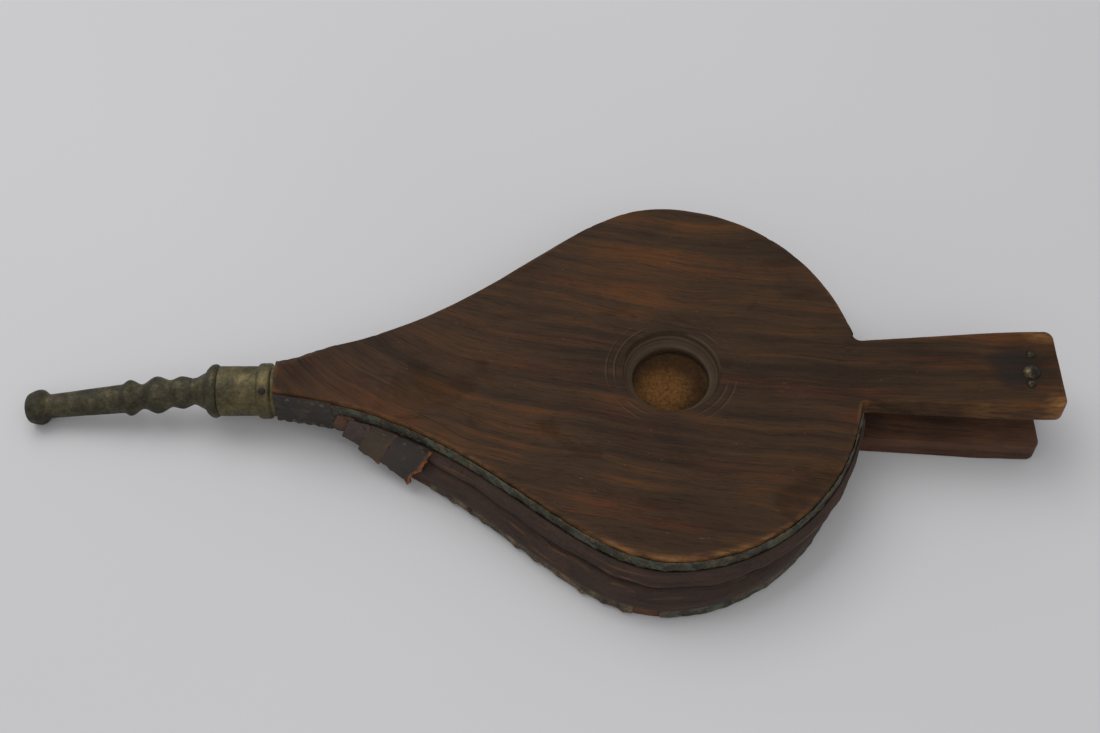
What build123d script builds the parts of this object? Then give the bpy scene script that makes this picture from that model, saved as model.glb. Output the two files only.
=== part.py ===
"""Old hand bellows: two pear-shaped boards, folded leather between them, a turned brass nozzle.

The bellows lies on its plain lower board. The upper board holds the air valve, the nose block and
the nozzle, and opens against the lower board on a leather hinge behind the nose.
Millimetres, +X from the nozzle towards the handles, +Z up, origin under the middle of the box.
"""

from build123d import *
from math import cos, radians, sin
import os

os.makedirs("parts", exist_ok=True)

# ---------------------------------------------------------------- driving dimensions
nose_x = -135.753           # nose datum of the upper board, where its lengths are measured from
nose_front = -2.7           # the board and the block start here, measured from that datum
nose_top = 38.25            # height of the upper board's top face at that end
tilt = 1.25                 # the upper board rises towards the handles, degrees
upper_thick = 12.5
lower_thick = 12.5
lower_shift = -3.5          # the lower board's outline sits this far forward

crown_s = 203.0             # widest section, measured along the board from the nose
crown_w = 112.0             # half width there
rear_reach = 102.5          # from the widest section to the rear of the pear
# front flank: distance from the nose, half width, direction of the edge in degrees
flank = [(nose_front, 11.8, 11), (28, 18.0, 15), (60, 29.3, 25), (107, 56.5, 34), (148, 87.4, 33)]
lower_grow = 9.5            # the lower board is cut this much fuller at its widest
lower_nose_grow = 2.0
lower_rear_grow = -1.0
lower_wider = 2.5           # its handle is this much wider each side

handle_root_s = 296.0
handle_root_w = 18.4
handle_flare_s = 380.0
handle_flare_w = 24.0
upper_handle_end = 409.5
lower_handle_end = 406.5

block_length = 51.0
block_thick = 11.5
lower_front = 54.0          # the lower board starts here, measured from the nose
hinge_s = 52.5

axis_depth = 16.7           # nozzle axis below the upper board's top face
spigot_r = 10.95
ferrule_r = 13.3
ferrule_band_r = 14.9
air_r = 5.0
outlet_r = 4.3

hole_s = 206.0
hole_r = 20.2
hole_rim_r = 25.5

leather = 1.2
band_thick = 0.9
band_wide = 7.0
band_depth = 2.6            # of the band's top edge below the board's top face
gap = 0.05                  # between touching pieces of one body
clear = 0.3                 # between pieces of two bodies

flap_hinge_s = 238.0
stud_s = 394.0
stud_y = -2.3

board_x = Vector(cos(radians(tilt)), 0, sin(radians(tilt)))
board_up = Vector(-sin(radians(tilt)), 0, cos(radians(tilt)))


# ---------------------------------------------------------------- planes and outlines
def upper_plane(depth=0.0):
    """Plane parallel to the upper board's top face, this far below it; local X runs from the nose."""
    return Plane(origin=Vector(nose_x, 0, nose_top) - board_up * depth, x_dir=board_x, z_dir=board_up)


def lower_plane(height=0.0):
    """Level plane at a height, local X running from the lower board's own nose datum."""
    return Plane(origin=(nose_x + lower_shift, 0, height))


def leaf_plane(height, share):
    """Plane through the chamber: height is at the hinge, share 0 at the lower board, 1 at the upper."""
    angle = radians(tilt * share)
    along = Vector(cos(angle), 0, sin(angle))
    start = Vector(nose_x + hinge_s + lower_shift * (1 - share), 0, height) - along * hinge_s
    return Plane(origin=start, x_dir=along, z_dir=(-sin(angle), 0, cos(angle)))


def flank_points(grow, nose_grow):
    """Points of the front flank, grown outwards from nose_grow at the nose to grow at the crown."""
    points = []
    for s, w, angle in flank:
        g = nose_grow + (grow - nose_grow) * s / crown_s
        points.append((s - g * sin(radians(angle)), w + g * cos(radians(angle))))
    return points + [(crown_s, crown_w + grow)]


def rim(grow=0.0, nose_grow=None, rear_grow=None):
    """One side of the pear, from the nose to the rear, as two edges in local coordinates."""
    points = flank_points(grow, grow if nose_grow is None else nose_grow)
    start = (cos(radians(flank[0][2])), sin(radians(flank[0][2])))
    side = Edge.make_spline([Vector(*p) for p in points], tangents=[Vector(*start), Vector(1, 0)])
    reach = rear_reach + (grow if rear_grow is None else rear_grow)
    rear = Edge.make_ellipse(reach, crown_w + grow, Plane(origin=(crown_s, 0, 0)), 0, 90)
    return side, rear


def pear(grow=0.0, nose_grow=None, rear_grow=None, mode=Mode.ADD):
    """Adds the closed pear outline to the sketch being drawn."""
    side, rear = rim(grow, nose_grow, rear_grow)
    with BuildSketch(Plane.XY) as outline:
        with BuildLine():
            Line((side.position_at(0).X, 0), side.position_at(0))
            add(side)
            add(rear)
            mirror(about=Plane.XZ)
        make_face()
    add(outline.sketch_local, mode=mode)


def handle(end, wider=0.0):
    """Adds a flared handle with rounded corners to the sketch being drawn."""
    root, flare = handle_root_w + wider, handle_flare_w + wider
    corners = [(handle_root_s, root), (handle_flare_s, flare), (end, flare + 0.4)]
    with BuildSketch(Plane.XY) as outline:
        with BuildLine():
            Polyline(*corners, *[(x, -y) for x, y in reversed(corners)], close=True)
        make_face()
    add(outline.sketch_local)


def board_outline(end, grow=0.0, nose_grow=0.0, rear_grow=0.0, wider=0.0, spare=0.0):
    """Adds the whole outline of a board, pear and handle, grown outwards by spare."""
    with BuildSketch(Plane.XY) as outline:
        pear(grow + spare, nose_grow + spare, rear_grow + spare)
        handle(end, wider + spare)
        fillet(outline.vertices().filter_by_position(Axis.X, 296, 309), 4)
        fillet(outline.vertices().filter_by_position(Axis.X, end - 3, end + 3), 5)
    add(outline.sketch_local)


def keep_between(low, high):
    """Cuts the sketch being drawn down to the stretch from low to high."""
    reach = 600
    with Locations((low - reach / 2, 0), (high + reach / 2, 0)):
        Rectangle(reach, reach, mode=Mode.SUBTRACT)


def keep_side(side, inner=0.0):
    """Keeps only one side of the sketch, side +1 or -1, beyond inner from the middle."""
    reach = 600
    with Locations((0, side * (inner - reach / 2))):
        Rectangle(2 * reach, reach, mode=Mode.SUBTRACT)


def rim_frame(plane, s_share, side, grow, nose_grow=None, rear_grow=None):
    """Plane on the rim: local X points outwards, at a share of the rim's length from the nose."""
    flank_edge, rear = rim(grow, nose_grow, rear_grow)
    front = flank_edge.length / (flank_edge.length + rear.length)
    if s_share < front:
        point = flank_edge.position_at(s_share / front)
        way = flank_edge.tangent_at(s_share / front)
    else:
        t = 1 - (s_share - front) / (1 - front)
        point = rear.position_at(t)
        way = rear.tangent_at(t) * -1
    outward = plane.x_dir * -way.Y + plane.y_dir * way.X * side
    return Plane(origin=plane.from_local_coords((point.X, point.Y * side, 0)), x_dir=outward, z_dir=plane.z_dir)


def flank_share(s, grow=0.0):
    """Share of the rim's length at which the flank passes a distance s from the nose."""
    flank_edge, rear = rim(grow)
    steps = 400
    for i in range(steps):
        if flank_edge.position_at(i / steps).X >= s:
            return i / steps * flank_edge.length / (flank_edge.length + rear.length)
    return flank_edge.length / (flank_edge.length + rear.length)


def turned(plane, profile, mode=Mode.ADD, smooth=True):
    """Revolves a profile of (along, radius) points about the plane's X axis."""
    first, end = profile[0], profile[-1]
    with BuildSketch(plane) as half:
        with BuildLine():
            if smooth:
                Spline(*profile)
            else:
                Polyline(*profile)
            Polyline(end, (end[0], 0), (first[0], 0), first)
        make_face()
    revolve(half.sketch, axis=Axis(plane.origin, plane.x_dir), mode=mode)


def nails(frames, head_r, head_high, shank_r, shank_long):
    """Domed nails standing on the given planes, heads along local X, shanks behind them."""
    for frame in frames:
        with BuildSketch(frame) as half:
            with BuildLine():
                Polyline((0, head_r), (0, shank_r), (-shank_long, shank_r * 0.5), (-shank_long, 0), (head_high, 0))
                ThreePointArc((head_high, 0), (head_high * 0.72, head_r * 0.66), (0, head_r))
            make_face()
        revolve(half.sketch, axis=Axis(frame.origin, frame.x_dir))


def finish(name, piece):
    """Labels a finished piece and writes it as one STEP file."""
    piece.part.label = name
    export_step(piece.part, f"parts/{name}.step")


# ---------------------------------------------------------------- boards
hole_centre = upper_plane().from_local_coords((hole_s, 0, 0))
hole_section = Plane(origin=hole_centre, x_dir=board_x, z_dir=(0, -1, 0))
nozzle_plane = Plane(
    origin=upper_plane(axis_depth).from_local_coords((nose_front, 0, 0)), x_dir=board_x * -1, z_dir=(0, 1, 0)
)
spigot_length = 27.5
block_bottom = upper_thick + block_thick
air_start = upper_plane(axis_depth).from_local_coords((nose_front - spigot_length - 1, 0, 0))
air_end = upper_plane(axis_depth + 1.0).from_local_coords((block_length + 1, 0, 0))
air_plane = Plane(origin=air_start, x_dir=(air_end - air_start).normalized(), z_dir=(0, 1, 0))
air_length = (air_end - air_start).length


def spigot(upper):
    """Adds half of the round spigot that fills the ferrule, above or below the glue line."""
    turned(nozzle_plane, [(0, spigot_r), (spigot_length, spigot_r)], smooth=False)
    depth, away = (upper_thick, -1) if upper else (upper_thick, 1)
    with BuildSketch(upper_plane(depth)) as cut:
        with Locations((nose_front - spigot_length / 2 - gap, 0)):
            Rectangle(spigot_length + 2 * gap, 4 * spigot_r)
    extrude(cut.sketch, amount=away * 2 * spigot_r, mode=Mode.SUBTRACT)


with BuildPart() as valve_board:
    spigot(upper=True)
    with BuildSketch(upper_plane()):
        board_outline(upper_handle_end)
    extrude(amount=-upper_thick)
    with BuildSketch(hole_section):
        with BuildLine():
            Polyline((0, 1), (hole_rim_r, 1), (hole_rim_r, 0), (22.8, -6.5), (hole_r, -7.6),
                     (hole_r, -upper_thick - 1), (0, -upper_thick - 1), close=True)
        make_face()
    revolve(axis=Axis(hole_centre, board_up), mode=Mode.SUBTRACT)
    turned(air_plane, [(0, air_r), (air_length, air_r)], Mode.SUBTRACT, smooth=False)
finish("valve_board", valve_board)

with BuildPart() as nose_block:
    spigot(upper=False)
    with BuildSketch(upper_plane(upper_thick + gap)):
        pear()
        keep_between(-50, block_length)
    extrude(amount=-block_thick + gap)
    turned(air_plane, [(0, air_r), (air_length, air_r)], Mode.SUBTRACT, smooth=False)
finish("nose_block", nose_block)

with BuildPart() as lower_board:
    with BuildSketch(lower_plane()):
        board_outline(lower_handle_end, lower_grow, lower_nose_grow, lower_rear_grow, lower_wider)
        keep_between(lower_front - lower_shift, 500)
    extrude(amount=lower_thick)
finish("lower_board", lower_board)

# ---------------------------------------------------------------- nozzle
with BuildPart() as ferrule:
    turned(nozzle_plane, [(gap, 13.4), (2.4, 13.4), (2.7, 14.4), (4.2, ferrule_band_r), (8.2, ferrule_band_r),
                          (9.6, 14.4), (10.1, ferrule_r), (28.8, ferrule_r), (31.0, ferrule_r)], smooth=False)
    turned(nozzle_plane, [(0, spigot_r + 0.1), (28.0, spigot_r + 0.1)], Mode.SUBTRACT, smooth=False)
    turned(nozzle_plane, [(27.0, 9.55), (32.0, 9.55)], Mode.SUBTRACT, smooth=False)
finish("ferrule", ferrule)

# from its first neck the spout droops and leans a little to the near side, its lip resting on the ground
neck = 45.0
droop = radians(7.53)
lean = radians(2.4)
spout_way = Vector(-cos(droop) * cos(lean), -cos(droop) * sin(lean), -sin(droop))
spout_plane = Plane(
    origin=nozzle_plane.from_local_coords((neck, 0, 0)), x_dir=spout_way, z_dir=(-sin(lean), cos(lean), 0)
)
spout_end = 90.8
with BuildPart() as nozzle_spout:
    turned(nozzle_plane, [(28.1, 9.5), (31.1, 9.5), (31.1, 13.4), (32.2, 14.2), (33.6, 14.3), (35.4, 13.6),
                          (37.0, 12.1), (38.4, 10.0), (41.0, 8.5), (43.0, 7.5), (45.8, 6.9)], smooth=False)
    turned(spout_plane, [(-1.2, 6.2), (0.4, 7.0), (2.6, 7.8), (6.5, 8.7), (9.4, 7.9), (12.0, 7.3), (15.5, 8.5),
                         (19.8, 9.95), (24.0, 8.2), (28.0, 6.7), (31.5, 8.2), (35.1, 9.5), (37.2, 8.3),
                         (39.5, 7.6), (45.0, 7.4), (55.0, 7.1), (65.0, 6.8), (73.0, 6.5), (78.5, 6.4),
                         (80.4, 7.6), (82.0, 8.9), (84.0, 9.5), (86.5, 9.1), (89.0, 8.2), (spout_end, 6.6)])
    turned(nozzle_plane, [(28.0, 8.0), (36.0, 7.4), (41.5, 4.7), (45.6, 4.7)], Mode.SUBTRACT, smooth=False)
    turned(spout_plane, [(-1.5, outlet_r), (spout_end + 1, outlet_r)], Mode.SUBTRACT, smooth=False)
finish("nozzle_spout", nozzle_spout)

with BuildPart() as ferrule_nails:
    nail_ring = []
    for turn in (55, 175, 295):
        out = Vector(0, -cos(radians(turn)), 0) + board_up * sin(radians(turn))
        centre = nozzle_plane.from_local_coords((6.2, 0, 0))
        nail_ring.append(Plane(origin=centre + out * (ferrule_band_r + gap), x_dir=out, z_dir=board_x))
    nails(nail_ring, 1.9, 0.8, 0.8, 7.0)
finish("ferrule_nails", ferrule_nails)

with BuildPart() as nose_block_nails:
    places = [(12, 9.2), (12, -9.2), (32, 11), (32, -11)]
    nails([Plane(origin=upper_plane(block_bottom).from_local_coords((s, y, 0)), x_dir=board_up * -1,
                 z_dir=(0, 1, 0)) for s, y in places], 2.8, 0.25, 1.3, 20.0)
finish("nose_block_nails", nose_block_nails)

# ---------------------------------------------------------------- nose leather and its tacks
with BuildPart() as nose_leather:
    with BuildSketch(upper_plane(band_depth + band_wide + 2 * gap)):
        pear(leather + gap)
        pear(gap, mode=Mode.SUBTRACT)
        keep_between(2, 50)
    extrude(amount=-(block_bottom + 2.4 - band_depth - band_wide - 2 * gap))
    with BuildSketch(upper_plane(1.5)):
        pear(leather + gap)
        pear(gap, mode=Mode.SUBTRACT)
        keep_between(2, 29)
    extrude(amount=-8.3)
    with BuildSketch(upper_plane(block_bottom + 1.4)):
        pear(leather + gap)
        keep_between(2, 50)
    extrude(amount=-1.0)
finish("nose_leather", nose_leather)

nose_skin = leather + gap
low_row = [rim_frame(upper_plane(21.5), flank_share(s), side, nose_skin)
           for s in (7, 12, 17, 22, 27, 32, 37, 42, 46) for side in (-1, 1)]
high_row = [rim_frame(upper_plane(4.2), flank_share(s), side, nose_skin)
            for s in (6, 12, 18, 24) for side in (-1, 1)]
with BuildPart() as nose_tacks:
    nails(low_row + high_row, 1.9, 0.9, 0.6, 6.0)
finish("nose_tacks", nose_tacks)

# ---------------------------------------------------------------- metal edge bands
band_start = 30.0
lower_band_start = 84.0
lower_band_top = 8.9
root_clear = 24.5           # the bands stop this far from the middle line, beside the handle


def edge_band(plane, side, start, inner, grow=0.0, nose_grow=0.0, rear_grow=0.0):
    """Adds a thin strip on one edge of a board, from start round to inner from the middle line."""
    with BuildSketch(plane) as strip:
        outer = gap + band_thick
        pear(grow + outer, nose_grow + outer, rear_grow + outer)
        pear(grow + gap, nose_grow + gap, rear_grow + gap, mode=Mode.SUBTRACT)
        keep_between(start, 500)
        keep_side(side, inner)
    extrude(strip.sketch, amount=-band_wide)


def band_near_nose(plane, side):
    """Adds the narrow front stretch of the upper band, where it is closer to the middle line."""
    with BuildSketch(plane) as strip:
        pear(gap + band_thick)
        pear(gap, mode=Mode.SUBTRACT)
        keep_between(band_start, crown_s)
        keep_side(side, 1.0)
    extrude(strip.sketch, amount=-band_wide)


for side_name, side in (("near", -1), ("far", 1)):
    with BuildPart() as upper_band:
        edge_band(upper_plane(band_depth), side, crown_s - 1, root_clear)
        band_near_nose(upper_plane(band_depth), side)
    finish(f"upper_band_{side_name}", upper_band)
    with BuildPart() as lower_band:
        edge_band(lower_plane(lower_band_top), side, lower_band_start, root_clear + lower_wider,
                  lower_grow, lower_nose_grow, lower_rear_grow)
    finish(f"lower_band_{side_name}", lower_band)

tack_spacing = [0.15 + 0.0468 * i for i in range(18)]
with BuildPart() as upper_band_tacks:
    nails([rim_frame(upper_plane(band_depth + band_wide / 2), share, side, gap + band_thick)
           for share in tack_spacing for side in (-1, 1)], 1.8, 0.8, 0.6, 7.0)
finish("upper_band_tacks", upper_band_tacks)

with BuildPart() as lower_band_tacks:
    band_face = gap + band_thick
    nails([rim_frame(lower_plane(5.0), share, side, lower_grow + band_face, lower_nose_grow + band_face,
                     lower_rear_grow + band_face)
           for share in tack_spacing[3:] for side in (-1, 1)], 1.8, 0.8, 0.6, 7.0)
finish("lower_band_tacks", lower_band_tacks)

# ---------------------------------------------------------------- overlapping leather patches at the nose
# side, start and end of the top edge along the board, depth of the bottom edge, growth at the top edge and
# at the bottom edge, places of the tacks along the board
patches = {
    "nose_patch_near_1": (-1, 32.0, 41.5, 22.0, 1.4, 2.2, [36.5]),
    "nose_patch_near_2": (-1, 39.0, 50.4, 26.5, 2.7, 5.2, [46.0]),
    "nose_patch_near_3": (-1, 50.7, 64.4, 30.5, 2.0, 9.8, [58.0]),
    "nose_patch_near_4": (-1, 64.7, 84.0, 33.5, 2.2, 12.2, [69.0, 79.0]),
    "nose_patch_far_1": (1, 50.7, 64.4, 29.0, 2.0, 9.4, [58.0]),
    "nose_patch_far_2": (1, 64.7, 87.0, 32.0, 2.2, 12.0, [69.0, 81.0]),
}
patch_lean = 0.4            # the seams between the patches lean towards the nose, mm for each mm down
patch_reach = 60.0
patch_top = band_depth + band_wide + 0.2
patch_tack_depth = 11.2
tack_shank_r = 0.6
side_view = Plane(origin=upper_plane().origin, x_dir=board_x, z_dir=(0, -1, 0))
patch_frames = []
for patch_name, (side, start, end, bottom, grow_top, grow_bottom, places) in patches.items():
    with BuildPart() as patch:
        for depth, grow in ((patch_top, grow_top), (bottom, grow_bottom)):
            with BuildSketch(upper_plane(depth)):
                pear(grow + leather)
        loft(ruled=True)
        for depth, grow in ((patch_top, grow_top), (bottom, grow_bottom)):
            with BuildSketch(upper_plane(depth)):
                pear(grow)
        loft(ruled=True, mode=Mode.SUBTRACT)
        top_shift = patch_lean * patch_top
        low_shift = patch_lean * (patch_reach - patch_top)
        with BuildSketch(side_view):
            with BuildLine():
                Polyline((start + top_shift, 0), (end + top_shift, 0), (end - low_shift, -patch_reach),
                         (start - low_shift, -patch_reach), close=True)
            make_face()
        extrude(amount=-side * 200, mode=Mode.INTERSECT)
    finish(patch_name, patch)
    slope = (grow_bottom - grow_top) / (bottom - patch_top)
    face = grow_top + slope * (patch_tack_depth - patch_top) + leather
    patch_frames += [rim_frame(upper_plane(patch_tack_depth), flank_share(s), side, face) for s in places]

with BuildPart() as patch_tacks:
    nails(patch_frames, 2.0, 0.8, tack_shank_r, 8.0)
finish("patch_tacks", patch_tacks)

# ---------------------------------------------------------------- folded leather wall
# outer rings of the wall: height at the hinge, share of the tilt, growth at the crown, the nose and the rear
wall_rings = [
    (9.2, 0.0, 11.1, 3.3, 0.6),
    (15.2, 0.3, 11.5, 2.9, 4.0),
    (20.4, 0.6, -1.5, 0.0, -1.0),
    (24.4, 0.9, 5.5, 1.8, 4.5),
    (29.4, 1.0, 1.6, 1.6, 1.6),
]
with BuildPart() as gusset_leather:
    for height, share, *grows in wall_rings:
        with BuildSketch(leaf_plane(height, share)):
            pear(*grows)
    loft(ruled=True)
    for height, share, *grows in wall_rings:
        with BuildSketch(leaf_plane(height, share)):
            pear(*[grow - leather for grow in grows])
    loft(ruled=True, mode=Mode.SUBTRACT)
    with Locations((nose_x + lower_front - 199.5, 0, 20)):
        Box(400, 400, 80, mode=Mode.SUBTRACT)
    with BuildSketch(lower_plane(lower_thick + gap)):
        board_outline(lower_handle_end, lower_grow, lower_nose_grow, lower_rear_grow, lower_wider, spare=gap)
    extrude(amount=-upper_thick, mode=Mode.SUBTRACT)
    with BuildSketch(upper_plane(upper_thick + clear)):
        board_outline(upper_handle_end, spare=clear)
    extrude(amount=upper_thick, mode=Mode.SUBTRACT)
    for frame in patch_frames:
        with BuildSketch(Plane(origin=frame.origin, z_dir=frame.x_dir)):
            Circle(tack_shank_r + clear)
        extrude(amount=-8.0, mode=Mode.SUBTRACT)
finish("gusset_leather", gusset_leather)

# ---------------------------------------------------------------- hinge at the nose
hinge_half = 18.5
hinge_start = 38.0
hinge_section = Plane(origin=(nose_x, 0, 0), x_dir=(1, 0, 0), z_dir=(0, -1, 0))
block_under = nose_top - block_bottom - clear
hinge_rise = sin(radians(tilt))
with BuildPart() as hinge_leather:
    with BuildSketch(hinge_section):
        with BuildLine():
            Polyline((hinge_start, block_under + hinge_start * hinge_rise),
                     (block_length, block_under + block_length * hinge_rise),
                     (56.5, lower_thick + 1.1), (76, lower_thick + 1.1), (76, lower_thick + gap),
                     (55.5, lower_thick + gap), (block_length, block_under + block_length * hinge_rise - 1.0),
                     (hinge_start, block_under + hinge_start * hinge_rise - 1.0), close=True)
        make_face()
    extrude(amount=hinge_half, both=True)
finish("hinge_leather", hinge_leather)

with BuildPart() as hinge_tacks:
    nails([Plane(origin=(nose_x + 68, y, lower_thick + 1.1), x_dir=(0, 0, 1), z_dir=(0, 1, 0))
           for y in (-15, -7.5, 0, 7.5, 15)], 2.0, 0.8, 0.6, 7.0)
finish("hinge_tacks", hinge_tacks)

apron_half = 28.0
with BuildPart() as nose_apron:
    with BuildSketch(Plane.XY.offset(1.0)):
        with Locations((nose_x + lower_front - gap - leather / 2, 0)):
            Rectangle(leather, 2 * apron_half)
    extrude(amount=10.6)
finish("nose_apron", nose_apron)

with BuildPart() as apron_tacks:
    nails([Plane(origin=(nose_x + lower_front - gap - leather, y, 5.5), x_dir=(-1, 0, 0), z_dir=(0, 1, 0))
           for y in (-24, -12, 0, 12, 24)], 1.9, 0.8, 0.6, 7.0)
finish("apron_tacks", apron_tacks)

# ---------------------------------------------------------------- inside: stay hoop and air valve
hoop_thick = 3.5
with BuildPart() as stay_hoop:
    with BuildSketch(leaf_plane(18.9, 0.5)):
        pear(-5.5, -4.0)
        pear(-12.5, -9.0, mode=Mode.SUBTRACT)
        keep_between(66, 500)
    extrude(amount=hoop_thick)
finish("stay_hoop", stay_hoop)

flap_top = upper_thick + clear
flap_thick = 2.2
with BuildPart() as valve_flap:
    with BuildSketch(upper_plane(flap_top)):
        with Locations(((178 + flap_hinge_s) / 2 - 0.5, 0)):
            RectangleRounded(flap_hinge_s - 178 - 1, 54, 12)
    extrude(amount=-flap_thick)
finish("valve_flap", valve_flap)

stiffener_top = flap_top + flap_thick + gap
with BuildPart() as flap_stiffener:
    with BuildSketch(upper_plane(stiffener_top)):
        with Locations((206, 0)):
            RectangleRounded(44, 42, 6)
    extrude(amount=-2.0)
finish("flap_stiffener", flap_stiffener)

with BuildPart() as flap_rivets:
    nails([Plane(origin=upper_plane(stiffener_top + 2.0).from_local_coords((s, y, 0)), x_dir=board_up * -1,
                 z_dir=(0, 1, 0)) for s, y in ((196, 12), (196, -12), (216, 12), (216, -12))], 2.0, 0.6, 0.8, 3.6)
finish("flap_rivets", flap_rivets)

with BuildPart() as flap_hinge_strip:
    with BuildSketch(upper_plane(upper_thick + gap)):
        with Locations((flap_hinge_s + 8.0, 0)):
            RectangleRounded(14, 54, 3)
    extrude(amount=-2.0)
finish("flap_hinge_strip", flap_hinge_strip)

with BuildPart() as flap_hinge_tacks:
    nails([Plane(origin=upper_plane(upper_thick + gap + 2.0).from_local_coords((flap_hinge_s + 8, y, 0)),
                 x_dir=board_up * -1, z_dir=(0, 1, 0)) for y in (-21, -7, 7, 21)], 2.2, 0.9, 0.7, 8.0)
finish("flap_hinge_tacks", flap_hinge_tacks)

strap_s = 193.0
strap_low = 22.3
with BuildPart() as flap_strap:
    with BuildSketch(Plane(origin=upper_plane().from_local_coords((strap_s, 0, 0)), x_dir=(0, 1, 0),
                           z_dir=board_x)):
        with BuildLine():
            Polyline((-42, -upper_thick - gap), (-34, -upper_thick - gap), (-30, -strap_low), (30, -strap_low),
                     (34, -upper_thick - gap), (42, -upper_thick - gap), (42, -upper_thick - 1.2),
                     (35, -upper_thick - 1.2), (30.8, -strap_low - 1.1), (-30.8, -strap_low - 1.1),
                     (-35, -upper_thick - 1.2), (-42, -upper_thick - 1.2), close=True)
        make_face()
    extrude(amount=9.0)
finish("flap_strap", flap_strap)

with BuildPart() as flap_strap_tacks:
    nails([Plane(origin=upper_plane(upper_thick + 1.2).from_local_coords((strap_s + 4.5, y, 0)),
                 x_dir=board_up * -1, z_dir=(0, 1, 0)) for y in (-38.5, 38.5)], 2.2, 0.9, 0.7, 8.0)
finish("flap_strap_tacks", flap_strap_tacks)

# ---------------------------------------------------------------- studs at the end of the upper handle
with BuildPart() as handle_stud:
    nails([Plane(origin=upper_plane(-gap).from_local_coords((stud_s, stud_y, 0)), x_dir=board_up,
                 z_dir=(0, 1, 0))], 4.7, 2.4, 1.2, 10.0)
finish("handle_stud", handle_stud)

with BuildPart() as handle_tacks:
    nails([Plane(origin=upper_plane(-gap).from_local_coords((s, y, 0)), x_dir=board_up, z_dir=(0, 1, 0))
           for s, y in ((stud_s + 1.5, stud_y + 11.7), (stud_s - 1.4, stud_y - 7.5))],
          2.5, 1.4, 0.8, 8.0)
finish("handle_tacks", handle_tacks)
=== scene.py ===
"""Old hand bellows: worn wood, cracked leather, tarnished brass, on a pale floor.

Shapes are worked out in millimetres on the boards' own planes, where s runs along a board from the
nose and y across it, and then put into the frame in metres.
"""

from math import cos, pi, radians, sin, sqrt

import bmesh
import bpy
import numpy as np
from mathutils import Matrix, Vector, noise


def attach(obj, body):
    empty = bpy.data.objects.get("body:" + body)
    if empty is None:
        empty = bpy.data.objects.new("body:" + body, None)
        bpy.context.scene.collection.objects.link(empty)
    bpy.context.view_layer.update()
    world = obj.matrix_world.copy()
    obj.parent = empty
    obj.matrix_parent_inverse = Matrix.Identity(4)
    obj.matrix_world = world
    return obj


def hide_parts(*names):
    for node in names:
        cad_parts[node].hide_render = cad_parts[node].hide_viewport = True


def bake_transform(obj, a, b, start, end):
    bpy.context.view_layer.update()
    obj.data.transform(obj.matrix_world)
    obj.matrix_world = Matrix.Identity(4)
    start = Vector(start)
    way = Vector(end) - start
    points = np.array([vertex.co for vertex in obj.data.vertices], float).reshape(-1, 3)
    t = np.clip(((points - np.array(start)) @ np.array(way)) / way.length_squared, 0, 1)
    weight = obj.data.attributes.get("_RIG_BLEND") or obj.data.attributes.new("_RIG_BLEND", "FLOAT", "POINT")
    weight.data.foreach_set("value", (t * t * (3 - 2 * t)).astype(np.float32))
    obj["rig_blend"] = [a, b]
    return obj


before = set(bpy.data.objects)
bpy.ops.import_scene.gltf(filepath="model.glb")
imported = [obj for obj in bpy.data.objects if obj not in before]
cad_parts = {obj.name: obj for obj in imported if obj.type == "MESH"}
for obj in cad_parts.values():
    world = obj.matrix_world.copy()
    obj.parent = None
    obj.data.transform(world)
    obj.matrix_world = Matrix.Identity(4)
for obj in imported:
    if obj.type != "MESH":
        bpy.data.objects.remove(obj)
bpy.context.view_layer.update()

# ---------------- dimensions, as in the CAD part
NOSE_X = -135.753
NOSE_FRONT = -2.7
NOSE_TOP = 38.25
TILT = 1.25
THICK = 12.5
LOWER_SHIFT = -3.5
CROWN_S, CROWN_W, REAR_REACH = 203.0, 112.0, 102.5
FLANK = [(NOSE_FRONT, 11.8, 11), (28, 18.0, 15), (60, 29.3, 25), (107, 56.5, 34), (148, 87.4, 33)]
LOWER_GROWS = (9.5, 2.0, -1.0)
LOWER_WIDER = 2.5
ROOT_S, ROOT_W, FLARE_S, FLARE_W = 296.0, 18.4, 380.0, 24.0
UPPER_END, LOWER_END, LOWER_FRONT = 409.5, 406.5, 54.0
HINGE_S = 52.5
AXIS_DEPTH = 16.7
NECK, DROOP, LEAN = 45.0, 7.53, 2.4
HOLE_S = 206.0
STUD_S = 394.0
BAND_DEPTH, BAND_WIDE = 2.6, 7.0
LOWER_BAND_TOP = 8.9
GAP = 0.05

# ---------------- sizes of the visible detail
CREASE = 20.4  # height of the inward crease of the leather wall
TUCK_LOW, TUCK_HIGH = 12.75, 26.3  # heights of the wall's edges between the handles, where it is tucked in
LEATHER_THICK = 1.1
WRAP_THICK = 0.8
BAND_THICK = 0.45
NOSE_WORN = 4.8  # how far the far corner of the upper board's nose is worn away
NOSE_WRAP_DRAWN = 4.3
HAIRS = 9000
HAIR_REACH = 22.5
FLOOR_REACH = 3.0


# ---------------- places and outlines
def upper_point(s, y, depth):
    """Frame position, in metres, of a point on the upper board this deep below its top face."""
    c, n = cos(radians(TILT)), sin(radians(TILT))
    return Vector((NOSE_X + s * c + depth * n, y, NOSE_TOP + s * n - depth * c)) * 0.001


def lower_point(s, y, height):
    """Frame position, in metres, of a point of the lower board at this height."""
    return Vector((NOSE_X + LOWER_SHIFT + s, y, height)) * 0.001


def leaf_point(s, y, height, share):
    """Frame position of a point in the chamber, share 0 at the lower board and 1 at the upper."""
    angle = radians(TILT * share)
    along = s - HINGE_S
    x = NOSE_X + HINGE_S + LOWER_SHIFT * (1 - share) + along * cos(angle)
    return Vector((x, y, height + along * sin(angle))) * 0.001


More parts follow.
